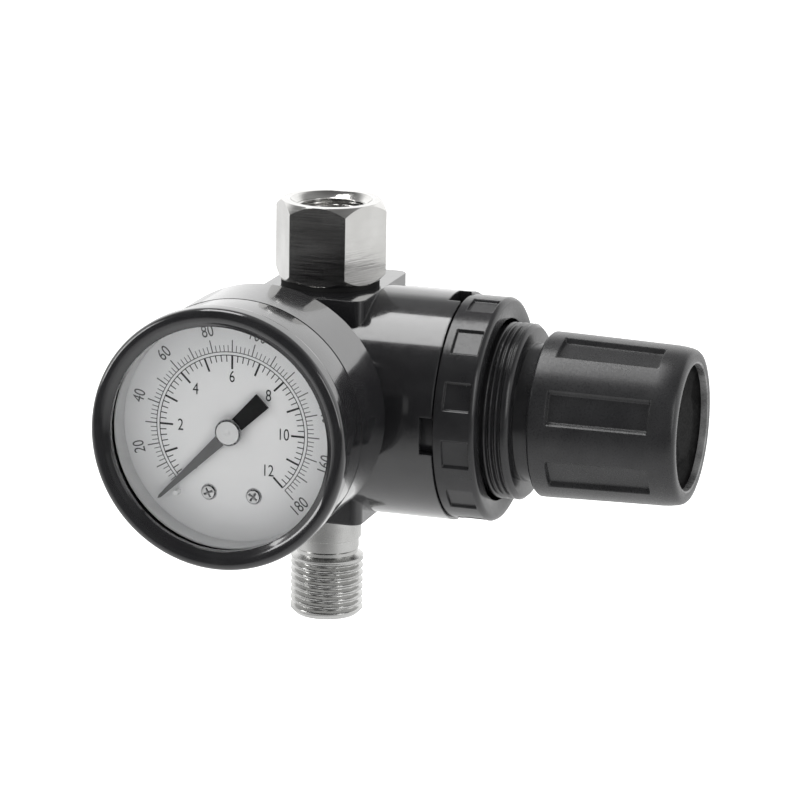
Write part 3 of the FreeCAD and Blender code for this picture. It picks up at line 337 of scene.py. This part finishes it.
def needle_material():
    """Black on the pointer's tail and grey along its long arm, with a short change past the hub."""
    material, tree, shader = new_material("pointer_paint")
    where = add(tree, "ShaderNodeTexCoord")
    along_arm = add(tree, "ShaderNodeVectorMath", operation="DOT_PRODUCT")
    tree.links.new(where.outputs["Object"], along_arm.inputs[0])
    diagonal = -math.sqrt(0.5)  # at rest the arm points down to the left
    along_arm.inputs[1].default_value = (diagonal, 0.0, diagonal)
    hub = (GAUGE_X + GAUGE_Z) * diagonal * MM
    grey_share = spread(tree, along_arm.outputs["Value"], 0.0, 1.0, hub - 1 * MM, hub + 3 * MM)
    tree.links.new(tint(tree, grey_share, (0.012, 0.012, 0.013), (0.17, 0.17, 0.172)), shader.inputs["Base Color"])
    fine = noise(tree, 2000, 3)
    tree.links.new(spread(tree, fine, 0.3, 0.42), shader.inputs["Roughness"])
    relief(tree, shader, fine, 0.002, 0.05)
    return material


def dial_material():
    """White enamel with painted shade: a little darker toward its rim, and brighter toward its middle."""
    material, tree, shader = new_material("dial_enamel")
    where = add(tree, "ShaderNodeTexCoord")
    offset = add(tree, "ShaderNodeVectorMath", operation="DISTANCE")
    tree.links.new(where.outputs["Object"], offset.inputs[0])
    offset.inputs[1].default_value = (GAUGE_X * MM, -DIAL_FACE * MM, GAUGE_Z * MM)
    rim_shade = spread(tree, offset.outputs["Value"], 0.0, 1.0, 2 * MM, 22 * MM)
    tree.links.new(tint(tree, rim_shade, (0.94, 0.94, 0.94), (0.83, 0.833, 0.838)), shader.inputs["Base Color"])
    fine = noise(tree, 2400, 3)
    tree.links.new(spread(tree, fine, 0.35, 0.5), shader.inputs["Roughness"])
    relief(tree, shader, fine, 0.002)
    return material


def lens_material():
    """A thin clear window: mostly see-through, with a gloss that grows toward grazing angles."""
    material, tree, shader = new_material("clear_window")
    tree.nodes.remove(shader)
    clear = add(tree, "ShaderNodeBsdfTransparent")
    gloss = add(tree, "ShaderNodeBsdfGlossy", Roughness=0.03)
    fresnel = add(tree, "ShaderNodeFresnel", IOR=1.3)
    wear = noise(tree, 60, 2)
    tree.links.new(tint(tree, wear, (0.985, 0.987, 0.987), (0.995, 0.995, 0.995)), clear.inputs["Color"])
    both = blend(tree, fresnel.outputs["Fac"], clear.outputs["BSDF"], gloss.outputs["BSDF"])
    tree.links.new(both, find(tree, "OUTPUT_MATERIAL").inputs["Surface"])
    return material


NUT_NICKEL = nut_material()
NEEDLE = needle_material()
DIAL = dial_material()
LENS = lens_material()


# ---------------------------------------------------------------- CAD nodes that keep their own shape
FINISHES = {
    ENAMEL: ["valve_body"],
    PLASTIC: ["valve_cap"],
    MATT_PLASTIC_PAINTED_SHADE: ["knob_cap"],
    CASE_PAINT: ["gauge_case"],
    NICKEL: ["inlet_spigot", "rear_port_plug"],
    BRASS: ["valve_poppet", "diaphragm_hub", "spring_nut", "thrust_washer", "gauge_socket", "movement_back_plate",
            "movement_front_plate", "movement_posts", "pinion_arbor", "sector_gear", "tip_link", "bourdon_tube",
            "tube_tip_post"],
    STEEL: ["valve_stem", "diaphragm_plate", "adjusting_screw", "knob_screw",
            "inlet_snap_ring", "sector_arbor", "hairspring"],
    RUBBER: ["cap_o_ring", "valve_disc", "diaphragm", "inlet_washer", "gauge_gasket", "rear_plug_washer",
             "lens_gasket"],
    POLISHED_PAINTED_REFLECTION: ["zero_stop_pin"],
    DIAL: ["gauge_dial"],
    LENS: ["gauge_lens"],
    NEEDLE: ["pointer"],
}
for finish, names in FINISHES.items():
    for name in names:
        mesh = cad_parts[name].data
        mesh.materials.clear()
        mesh.materials.append(finish)
        shade(mesh, sharp=28)


# ---------------------------------------------------------------- pocketed grips
# A row of equal pockets with flat floors, round the knob's axis. first: degrees to the middle of one pocket.
# width and corner: radians that a pocket and each of its side walls span. start and stop: its ends along the
# axis. wall: length of its end walls. outside: the radius from which a surface is pocketed.
Pockets = namedtuple("Pockets", "first count width corner start stop wall depth outside")
KNOB_POCKETS = Pockets(first=19.0, count=7, width=5.7 / 14.4, corner=0.038,
                       start=44.2, stop=62.6, wall=0.35, depth=1.1, outside=13.9)
RING_POCKETS = Pockets(first=18.8, count=12, width=4.95 / 20.0, corner=0.016,
                       start=27.2, stop=32.2, wall=0.25, depth=0.6, outside=19.7)


def pocket_angles(pockets):
    """Angles round a grip, dense across each pocket's two side walls, so that the walls are crisp."""
    across_wall = (-1.6, -1.1, -0.6, -0.2, 0.2, 0.6, 1.1, 1.6)
    reach = across_wall[-1] * pockets.corner
    half = pockets.width / 2
    inner = half - reach
    outer = math.pi / pockets.count - half - reach
    angles = []
    for number in range(pockets.count):
        centre = math.radians(pockets.first + 360.0 / pockets.count * number)
        for side in (-1, 1):
            for step in across_wall:
                angles.append(centre + side * half + step * pockets.corner)
        for step in range(1, 10):
            angles.append(centre - inner + 2 * inner * step / 10)
        for step in range(8):
            angles.append(centre + half + reach + 2 * outer * (step + 0.5) / 8)
    return sorted(angle % TAU for angle in angles)


def pocket_cutter(pockets):
    """The change that cuts the pockets into a turned piece."""
    pitch = TAU / pockets.count

    def change(distance, radius, angle):
        if radius < pockets.outside:
            return radius
        offset = (angle - math.radians(pockets.first) + pitch / 2) % pitch - pitch / 2
        across = smooth_step((pockets.width / 2 + pockets.corner / 2 - abs(offset)) / pockets.corner)
        lengthwise = (smooth_step((distance - pockets.start) / pockets.wall)
                      * smooth_step((pockets.stop - distance) / pockets.wall))
        floor = (radius - pockets.depth) / max(0.9, math.cos(offset))
        return radius + (min(radius, floor) - radius) * across * lengthwise
    return change


def grip_side(pockets, spacing, radius_at):
    """Corners along a grip's side, close together at the pockets' end walls."""
    distances = []
    for end, inward in ((pockets.start, 1), (pockets.stop, -1)):
        for step in (-0.6, 0.0, 0.25, 0.5, 0.75, 1.0, 1.6):
            distances.append(end + inward * step * spacing)
    for step in range(1, 12):
        distances.append(pockets.start + (pockets.stop - pockets.start) * step / 12)
    return [(distance, radius_at(distance)) for distance in sorted(distances)]


def make_knob():
    """A tapered grip with a rounded end lip round a recess."""
    taper_start, wide = 42.0, 14.7
    taper_stop, narrow = 63.4, 14.15
    recess_floor, recess_radius = 65.9, 11.2

    def side_radius(distance):
        return wide + (narrow - wide) * (distance - taper_start) / (taper_stop - taper_start)

    rear = [(41.0, 12.6), (41.0, 14.3), (41.4, 14.68)]
    side = grip_side(KNOB_POCKETS, 0.3, side_radius)
    lip = [(63.6, 14.14), (64.8, 14.02), (65.9, 13.84), (66.6, 13.6), (67.0, 13.25), (67.19, 12.7),
           (67.19, 11.55), (67.05, 11.25), (66.8, recess_radius), (recess_floor, recess_radius)]
    floor = [(recess_floor, 9.8), (recess_floor, 5.6)]
    bore = [(60.0, 5.6), (60.0, 3.6), (50.4, 3.6), (50.4, 12.6)]
    edges = [0.15] * len(rear) + [0.0] * len(side) + [0.0] * len(lip) + [0.1, 0.0] + [0.1] * len(bore)
    knob = lathe("grip_knob", rear + side + lip + floor + bore, knob_frame, "knob", PLASTIC,
                 ["knob"], edge=edges, around=pocket_angles(KNOB_POCKETS), change=pocket_cutter(KNOB_POCKETS))
    # the recess has a matt floor with painted shade and a grained wall with painted light
    knob.data.materials.append(MATT_PLASTIC_PAINTED_SHADE)
    knob.data.materials.append(GRAINED_PAINTED_LIGHT)
    for face in knob.data.polygons:
        along = face.center.x / MM
        across = math.hypot(face.center.y, face.center.z - AXIS_Z * MM) / MM
        if recess_floor - 0.2 < along < recess_floor + 0.1 and across < recess_radius - 0.05:
            face.material_index = 1
        elif along > recess_floor + 0.05 and recess_radius - 0.1 < across < recess_radius + 0.3:
            face.material_index = 2


def make_ring():
    radius = 19.96
    rear = [(21.5, 16.2), (21.5, 18.3), (25.62, 18.3), (25.62, 19.6), (25.8, 19.95)]
    side = grip_side(RING_POCKETS, 0.25, lambda distance: radius)
    front = [(32.4, 19.94), (32.85, 19.7), (33.1, 19.3), (33.14, 18.9), (33.14, 16.7), (32.9, 16.25)]
    lathe("castellated_ring", rear + side + front, knob_frame, "root", RING_PLASTIC,
          ["bonnet_ring"], edge=0.0, around=pocket_angles(RING_POCKETS), change=pocket_cutter(RING_POCKETS))


# ---------------------------------------------------------------- threads
PORT_PITCH = 1.337


def groove(distance, angle, pitch):
    """How deep a thread's groove is, from 0 on its crest to 1 at its bottom."""
    phase = (distance / pitch + angle / TAU) % 1.0
    return 1 - smooth_step(abs(phase - 0.5) * 2.5 - 0.12)


def threaded(name, before, after, place, material, replaced, start, stop, crest, pitch, depth, around):
    """A turned piece of the root; between its corners before and after, its wall carries a helical thread."""
    steps = int((stop - start) / pitch * 14)
    wall = [(start + (stop - start) * step / steps, crest) for step in range(steps + 1)]
    run_out = 0.7 * pitch

    def change(distance, radius, angle):
        if abs(radius - crest) > 1e-6 or not start <= distance <= stop:
            return radius
        fade = smooth_step((distance - start) / run_out) * smooth_step((stop - distance) / run_out)
        return radius - depth * groove(distance, angle, pitch) * fade
    lathe(name, before + wall + after, place, "root", material, replaced, edge=0.0, around=around,
          change=change)


def make_threads():
    threaded("outlet_fitting",
             [(12.0, 3.6), (12.0, 5.9), (12.7, 6.57), (19.8, 6.57), (20.4, 6.14), (26.5, 6.14), (26.7, 5.75),
              (28.6, 5.75), (28.9, 5.5), (29.5, 5.5), (30.0, 6.3)],
             [(40.98, 5.7), (40.98, 4.1), (40.5, 3.6)],
             outlet_frame, SATIN_NICKEL, ["outlet_nipple"],
             start=30.1, stop=40.1, crest=6.57, pitch=PORT_PITCH, depth=0.75, around=160)
    threaded("bonnet_sleeve",
             [(19.4, 13.5), (19.4, 18.1), (21.4, 18.1), (21.4, 15.0), (33.45, 15.0)],
             [(37.31, 15.65), (37.95, 15.05), (38.0, 14.9), (38.0, 12.4), (38.2, 12.3), (45.5, 12.3),
              (46.0, 11.7), (46.0, 3.55), (43.0, 3.55), (43.0, 9.6), (23.6, 9.6), (23.6, 13.5)],
             knob_frame, RING_PLASTIC, ["bonnet"],
             start=33.5, stop=37.2, crest=15.68, pitch=1.05, depth=0.62, around=192)


# ---------------------------------------------------------------- swivel nut
def make_nut():
    """A hexagon with conical ends, whose bore carries the inlet thread."""
    low, high = 21.3, 35.5
    flat_radius = 17.7 / 2
    corner_radius = flat_radius / math.cos(math.radians(30)) + 0.3
    low_rim, low_bevel = 8.95, 1.7
    high_rim, high_bevel = 8.85, 1.9
    first = math.radians(2.8)
    starts = [first + math.radians(60) * side for side in range(6)]
    shares = (0.0, 0.02, 0.05, 0.1, 0.16, 0.22, 0.28, 0.34, 0.4, 0.45,
              0.5, 0.55, 0.6, 0.66, 0.72, 0.78, 0.84, 0.9, 0.95, 0.98)
    angles = [start + math.radians(60) * share for start in starts for share in shares]

    def column(angle):
        """The outside's (height, radius) corners at one angle: bevel, flat, bevel."""
        flat = flat_radius / math.cos((angle - first) % math.radians(60) - math.radians(30))
        lower = low + (flat - low_rim) * low_bevel / (corner_radius - low_rim)
        upper = high - (flat - high_rim) * high_bevel / (corner_radius - high_rim)
        corners = [(low + (lower - low) * step / 3, low_rim + (flat - low_rim) * step / 3) for step in range(3)]
        corners += [(lower + (upper - lower) * step / 8, flat) for step in range(9)]
        corners += [(upper + (high - upper) * step / 3, flat + (high_rim - flat) * step / 3)
                    for step in range(1, 4)]
        return corners

    outside = [column(angle) for angle in angles]
    rows = [[port_frame(*corners[step], angle) for corners, angle in zip(outside, angles)]
            for step in range(len(outside[0]))]
    crest, depth = 5.73, 0.6
    mouth, thread_length, steps = high - 1.1, 7.4, 70
    bore = [(high, 7.35), (high - 0.3, 7.2), (mouth, 6.35)]
    bore += [(mouth - thread_length * step / steps, crest) for step in range(steps + 1)]
    bore += [(27.0, 6.6), (24.3, 6.6), (24.3, 5.25), (22.9, 5.25), (22.9, 7.95), (low, 7.95)]
    for height, radius in bore:
        cut = depth if radius == crest else 0.0
        rows.append([port_frame(height, radius + cut * groove(height, angle, PORT_PITCH), angle)
                     for angle in angles])
    vertices, faces = surface(rows)
    finish_piece("hexagon_nut", vertices, faces, "swivel_nut", NUT_NICKEL, ["inlet_swivel_nut"], sharp=24)


# ---------------------------------------------------------------- gauge
OUTER_ARC, INNER_ARC = 13.65, 13.08  # radii of the two scales' arcs
ARC_WIDTH = 0.14
OUTER_END, INNER_END = 180, 12  # the numbers that the two scales end at


def make_bezel():
    outline = [(39.16, 21.25), (39.16, 21.98), (46.2, 21.98), (47.0, 22.25), (47.5, 22.65), (47.9, 22.79),
               (50.2, 22.79), (50.8, 22.6), (51.15, 22.2), (51.28, 21.7), (51.25, 21.2), (51.0, 20.6),
               (50.6, 20.1), (50.2, 19.55), (50.0, 19.5), (49.05, 19.5), (49.05, 21.2)]
    lathe("bezel_ring", outline, gauge_frame, "root", CASE_PAINT, ["gauge_bezel"], edge=0.25,
          around=256)


def print_on_dial(name, shapes, material, thick=0.02):
    """Thin printed shapes: each is a list of (right, up) corners about the gauge's axis."""
    vertices, faces = [], []
    for shape in shapes:
        base = len(vertices)
        count = len(shape)
        for lift in (0.0, thick):
            for right, up in shape:
                vertices.append(Vector((GAUGE_X + right, -DIAL_FACE - lift, GAUGE_Z + up)))
        faces.append(tuple(range(base, base + count)))
        faces.append(tuple(range(base + count, base + 2 * count)))
        for step in range(count):
            after = (step + 1) % count
            faces.append((base + step, base + after, base + count + after, base + count + step))
    finish_piece(name, vertices, faces, "root", material)


def bar(angle, inner, outer, width):
    """A radial mark's four corners."""
    along = Vector((math.cos(angle), math.sin(angle)))
    side = Vector((-along.y, along.x)) * width / 2
    return [tuple(along * inner - side), tuple(along * outer - side), tuple(along * outer + side),
            tuple(along * inner + side)]


def arc(radius):
    """A scale's arc, as short four-cornered pieces."""
    steps = 120
    first, last = scale_angle(0), scale_angle(1)
    pieces = []
    for step in range(steps):
        here = first + (last - first) * step / steps
        there = first + (last - first) * (step + 1) / steps
        corners = ((-ARC_WIDTH / 2, here), (ARC_WIDTH / 2, here), (ARC_WIDTH / 2, there), (-ARC_WIDTH / 2, there))
        pieces.append([((radius + side) * math.cos(angle), (radius + side) * math.sin(angle))
                       for side, angle in corners])
    return pieces


def scale_angle(share):
    """The angle at a share of the scale, which sweeps 270 degrees clockwise from the lower left."""
    return math.radians(225 - 270 * share)


def number_mesh(value, radius, share, size, upright):
    """A printed number at a share of the scale; it stands upright, or runs along the scale."""
    text = str(value)
    letters = bpy.data.curves.new("number_" + text, "FONT")
    letters.body = text
    letters.size = size * MM
    letters.align_x = "CENTER"
    letters.align_y = "CENTER"
    letters.resolution_u = 4
    made = bpy.data.objects.new("number_" + text, letters)
    mesh = bpy.data.meshes.new_from_object(made)
    bpy.data.objects.remove(made)
    angle = scale_angle(share)
    turn = 0.0 if upright else angle - math.pi / 2
    if not upright and math.sin(angle) < 0 < math.cos(angle):
        turn += math.pi  # on the lower right it would otherwise stand on its head
    narrow = Matrix.Diagonal((0.76, 1.0, 1.0, 1.0))
    spin = Matrix.Rotation(turn, 4, "Z")
    upward = Matrix.Rotation(math.pi / 2, 4, "X")
    centre = gauge_frame(DIAL_FACE + 0.03, radius, angle) * MM
    mesh.transform(Matrix.Translation(centre) @ upward @ spin @ narrow)
    return mesh


def join_numbers(name, meshes, material):
    """One piece of all the numbers of a scale."""
    joined = bmesh.new()
    for mesh in meshes:
        joined.from_mesh(mesh)
        bpy.data.meshes.remove(mesh)
    total = bpy.data.meshes.new(name)
    joined.to_mesh(total)
    joined.free()
    total.materials.clear()
    total.materials.append(material)
    piece = bpy.data.objects.new(name, total)
    bpy.context.scene.collection.objects.link(piece)
    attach(piece, "root")


def make_dial_print():
    """Two scales on the dial: a grey outer one in steps of 2, and a black inner one in steps of 0.2."""
    outer_marks, inner_marks = OUTER_END // 2, INNER_END * 5
    outer = arc(OUTER_ARC)
    for number in range(outer_marks + 1):
        if number % 10 == 0:
            length, width = 2.2, 0.19
        elif number % 5 == 0:
            length, width = 2.1, 0.19
        else:
            length, width = 1.15, 0.13
        outer.append(bar(scale_angle(number / outer_marks), OUTER_ARC, OUTER_ARC + length, width))
    print_on_dial("outer_scale", outer, GREY_PRINT)
    inner = arc(INNER_ARC)
    for number in range(inner_marks + 1):
        length, width = (2.4, 0.34) if number % 5 == 0 else (1.15, 0.17)
        inner.append(bar(scale_angle(number / inner_marks), INNER_ARC - length, INNER_ARC, width))
    print_on_dial("inner_scale", inner, PRINT)
    join_numbers("outer_numbers", [number_mesh(value, 17.4, value / OUTER_END, 3.0, upright=False)
                                   for value in range(20, OUTER_END + 1, 20)], GREY_PRINT)
    join_numbers("inner_numbers", [number_mesh(value, 9.3, value / INNER_END, 2.9, upright=True)
                                   for value in range(0, INNER_END + 1, 2)], PRINT)


def darken(piece, centre, rim, floor):
    """Painted shade: plain steel, which renders dark, past a radius about a head's centre, and lower than a height
    over it.
    """
    piece.data.materials.append(STEEL)
    for face in piece.data.polygons:
        offset = face.center / MM - centre
        if math.hypot(offset.x, offset.z) > rim or -offset.y < floor:
            face.material_index = 1


def make_dial_screws():
    """Two domed heads with a cross recess."""
    seat = DIAL_FACE + 0.02
    head = ((0.001, 0.70), (0.25, 0.70), (0.45, 0.68), (0.6, 0.66), (0.75, 0.62),
            (0.9, 0.56), (1.1, 0.46), (1.28, 0.32), (1.4, 0.12), (1.43, 0.0))  # (radius, height)
    half_slot, slot_wall, slot_depth = 0.24, 0.12, 0.4
    slot_reach, slot_end = 0.95, 0.2
    around = 96
    for number, side in enumerate((-1, 1)):
        middle_x, middle_z = GAUGE_X + side * 4.07, GAUGE_Z - 11.3
        turn = math.radians(25 + 30 * number)
        rows = []
        for radius, height in head:
            row = []
            for step in range(around):
                angle = TAU * step / around
                right, up = radius * math.cos(angle), radius * math.sin(angle)
                along = abs(right * math.cos(turn) + up * math.sin(turn))
                across = abs(-right * math.sin(turn) + up * math.cos(turn))
                deep = (smooth_step((half_slot - min(along, across)) / slot_wall)
                        * smooth_step((slot_reach - radius) / slot_end))
                row.append(Vector((middle_x + right, -seat - height + slot_depth * deep, middle_z + up)))
            rows.append(row)
        vertices, faces = surface(rows, closed_rows=False)
        screw = finish_piece("dial_screw_%d" % number, vertices, faces, "root", POLISHED_PAINTED_REFLECTION,
                             ["dial_screws"] if number == 0 else (), sharp=60)
        # painted shade: the head's rim and its cross recess are plain steel, which renders dark
        darken(screw, Vector((middle_x, -seat, middle_z)), rim=1.22, floor=0.42)


def make_dial_liner():
    """The pale wall between the dial and the window."""
    lathe("dial_liner", [(43.25, 19.62), (47.3, 19.62), (47.3, 19.9), (43.25, 19.9)], gauge_frame, "root", LINER,
          edge=0.05)


def make_hub_cap():
    outline = [(44.76, 0.62), (44.76, 2.38), (45.1, 2.4), (45.35, 2.25), (45.49, 1.95), (45.49, 0.55),
               (45.35, 0.3), (45.3, 0.02), (45.1, 0.02), (45.1, 0.62)]
    cap = lathe("hub_cap", outline, gauge_frame, "pointer", POLISHED_PAINTED_REFLECTION, ["pointer_cap"], edge=0.12,
                around=96)
    # painted shade: the cap's rim and back are plain steel, which renders dark
    darken(cap, gauge_frame(45.0, 0.0, 0.0), rim=2.02, floor=0.0)


# ---------------------------------------------------------------- springs
def make_spring(name, node, mean, wire, coils):
    """A round-wire spring in its CAD node's place, from end to end of the node's box."""
    low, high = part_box(node)
    left, right = low[0] / MM, high[0] / MM
    steps, around = coils * 48, 16
    rows = []
    for step in range(steps + 1):
        share = step / steps
        angle = TAU * coils * share
        row = []
        for side in range(around):
            turn = TAU * side / around
            distance = left + wire / 2 + (right - left - wire) * share + wire / 2 * math.sin(turn)
            row.append(knob_frame(distance, mean + wire / 2 * math.cos(turn), angle))
        rows.append(row)
    vertices, faces = surface(rows, closed_rows=False)
    faces += [tuple(range(around)), tuple(steps * around + side for side in range(around))]
    piece = finish_piece(name, vertices, faces, "root", STEEL, [node], sharp=60)
    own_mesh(piece)


make_spring("main_coil", "regulating_spring", mean=7.6, wire=1.8, coils=4)
make_spring("valve_coil", "valve_spring", mean=4.0, wire=0.7, coils=4)
make_knob()
make_ring()
make_threads()
make_nut()
make_bezel()
make_dial_print()
make_dial_screws()
make_dial_liner()
make_hub_cap()


# ---------------------------------------------------------------- floor, light and camera, in metres
FLOOR_Z = -0.06
FLOOR_REACH = 3.0
SEEN_GLOW = 0.45  # added to the floor where it is looked at
FILL = 1.0  # the world's even light on the object
# strengths that a reflection sees: toward the front, on the floor elsewhere, and toward the back
FRONT_GLOW, FLOOR_GLOW, BACK_GLOW = 0.07, 0.95, 1.3
HIGH_SHARE = 0.28  # what is left of the world's reflection high up
LAMP_TARGET = (0, 0, 0.04)


def make_floor():
    """A pale floor; a reflection sees it bright behind and beside the object, and dark toward the front."""
    material, tree, shader = new_material("pale_floor")
    tree.links.new(tint(tree, noise(tree, 6, 2), (0.97, 0.97, 0.97), (1, 1, 1)), shader.inputs["Base Color"])
    shader.inputs["Roughness"].default_value = 0.9
    path = add(tree, "ShaderNodeLightPath")
    seen = add(tree, "ShaderNodeMath", operation="MAXIMUM")
    tree.links.new(path.outputs["Is Camera Ray"], seen.inputs[0])
    tree.links.new(path.outputs["Is Transmission Ray"], seen.inputs[1])
    glow = add(tree, "ShaderNodeEmission", Strength=SEEN_GLOW)
    summed = add(tree, "ShaderNodeAddShader")
    tree.links.new(shader.outputs["BSDF"], summed.inputs[0])
    tree.links.new(glow.outputs["Emission"], summed.inputs[1])
    plain = blend(tree, seen.outputs["Value"], shader.outputs["BSDF"], summed.outputs["Shader"])
    where = add(tree, "ShaderNodeTexCoord")
    apart = add(tree, "ShaderNodeSeparateXYZ")
    tree.links.new(where.outputs["Object"], apart.inputs["Vector"])
    mirrored = add(tree, "ShaderNodeEmission")
    tree.links.new(spread(tree, apart.outputs["Y"], FRONT_GLOW, FLOOR_GLOW, -0.34, -0.10),
                   mirrored.inputs["Strength"])
    final = blend(tree, path.outputs["Is Glossy Ray"], plain, mirrored.outputs["Emission"])
    tree.links.new(final, find(tree, "OUTPUT_MATERIAL").inputs["Surface"])
    mesh = bpy.data.meshes.new("floor")
    mesh.from_pydata([(x * FLOOR_REACH, y * FLOOR_REACH, FLOOR_Z) for x, y in ((-1, -1), (1, -1), (1, 1), (-1, 1))],
                     [], [(0, 1, 2, 3)])
    mesh.materials.append(material)
    floor = bpy.data.objects.new("floor", mesh)
    bpy.context.scene.collection.objects.link(floor)


def make_world():
    """White to the eye, an even soft light on the object, and a dark front with a bright back in reflections."""
    world = bpy.data.worlds.new("studio")
    bpy.context.scene.world = world
    world.use_nodes = True
    tree = world.node_tree
    tree.nodes.clear()
    output = add(tree, "ShaderNodeOutputWorld")
    path = add(tree, "ShaderNodeLightPath")
    where = add(tree, "ShaderNodeTexCoord")
    apart = add(tree, "ShaderNodeSeparateXYZ")
    tree.links.new(where.outputs["Generated"], apart.inputs["Vector"])
    white = add(tree, "ShaderNodeBackground", Strength=1.0)
    soft = add(tree, "ShaderNodeBackground", Strength=FILL)
    mirrored = add(tree, "ShaderNodeBackground")
    for shader in (white, soft, mirrored):
        shader.inputs["Color"].default_value = (1, 1, 1, 1)
    toward_back = spread(tree, apart.outputs["Y"], FRONT_GLOW, BACK_GLOW, -0.75, 0.35)
    dimmed_high = add(tree, "ShaderNodeMath", operation="MULTIPLY")
    tree.links.new(toward_back, dimmed_high.inputs[0])
    tree.links.new(spread(tree, apart.outputs["Z"], 1.0, HIGH_SHARE, 0.46, 0.66), dimmed_high.inputs[1])
    tree.links.new(dimmed_high.outputs["Value"], mirrored.inputs["Strength"])
    lit = blend(tree, path.outputs["Is Glossy Ray"], soft.outputs["Background"], mirrored.outputs["Background"])
    final = blend(tree, path.outputs["Is Camera Ray"], lit, white.outputs["Background"])
    tree.links.new(final, output.inputs["Surface"])


def lamp(name, place, size, watts):
    """A soft box that faces the object."""
    light = bpy.data.lights.new(name, "AREA")
    light.shape = "RECTANGLE"
    light.size, light.size_y = size
    light.energy = watts
    made = bpy.data.objects.new(name, light)
    made.location = place
    made.rotation_mode = "QUATERNION"
    made.rotation_quaternion = (Vector(LAMP_TARGET) - Vector(place)).to_track_quat("-Z", "Y")
    bpy.context.scene.collection.objects.link(made)


def make_camera():
    """A camera in front, a little to the right and above, turned by a small roll."""
    azimuth, elevation, roll = math.radians(17.75), math.radians(14.5), math.radians(0.95)
    distance, rightward, downward = 740.09, 12.74, 1.38  # millimetres from the regulator's axis at x = y = 0
    back = Vector((math.sin(azimuth) * math.cos(elevation), -math.cos(azimuth) * math.cos(elevation),
                   math.sin(elevation)))
    level = Vector((math.cos(azimuth), math.sin(azimuth), 0))
    above = back.cross(level)
    right = level * math.cos(roll) + above * math.sin(roll)
    up = above * math.cos(roll) - level * math.sin(roll)
    data = bpy.data.cameras.new("camera")
    data.sensor_width = 36.0
    data.lens = 185.34
    data.clip_start, data.clip_end = 0.05, 20.0
    camera = bpy.data.objects.new("camera", data)
    place = (back * distance + right * rightward - up * downward + Vector((0, 0, AXIS_Z))) * MM
    turn = Matrix((right, up, back)).transposed().to_4x4()
    camera.matrix_world = Matrix.Translation(place) @ turn
    bpy.context.scene.collection.objects.link(camera)
    bpy.context.scene.camera = camera


make_floor()
make_world()
lamp("top_softbox", (-0.18, 0.01, 0.66), size=(0.42, 0.27), watts=2.0)
lamp("left_softbox", (-0.66, -0.40, 0.24), size=(0.22, 0.45), watts=1.9)
lamp("right_softbox", (0.66, -0.30, 0.26), size=(0.20, 0.45), watts=0.8)
make_camera()
bpy.context.scene.view_settings.view_transform = "Standard"
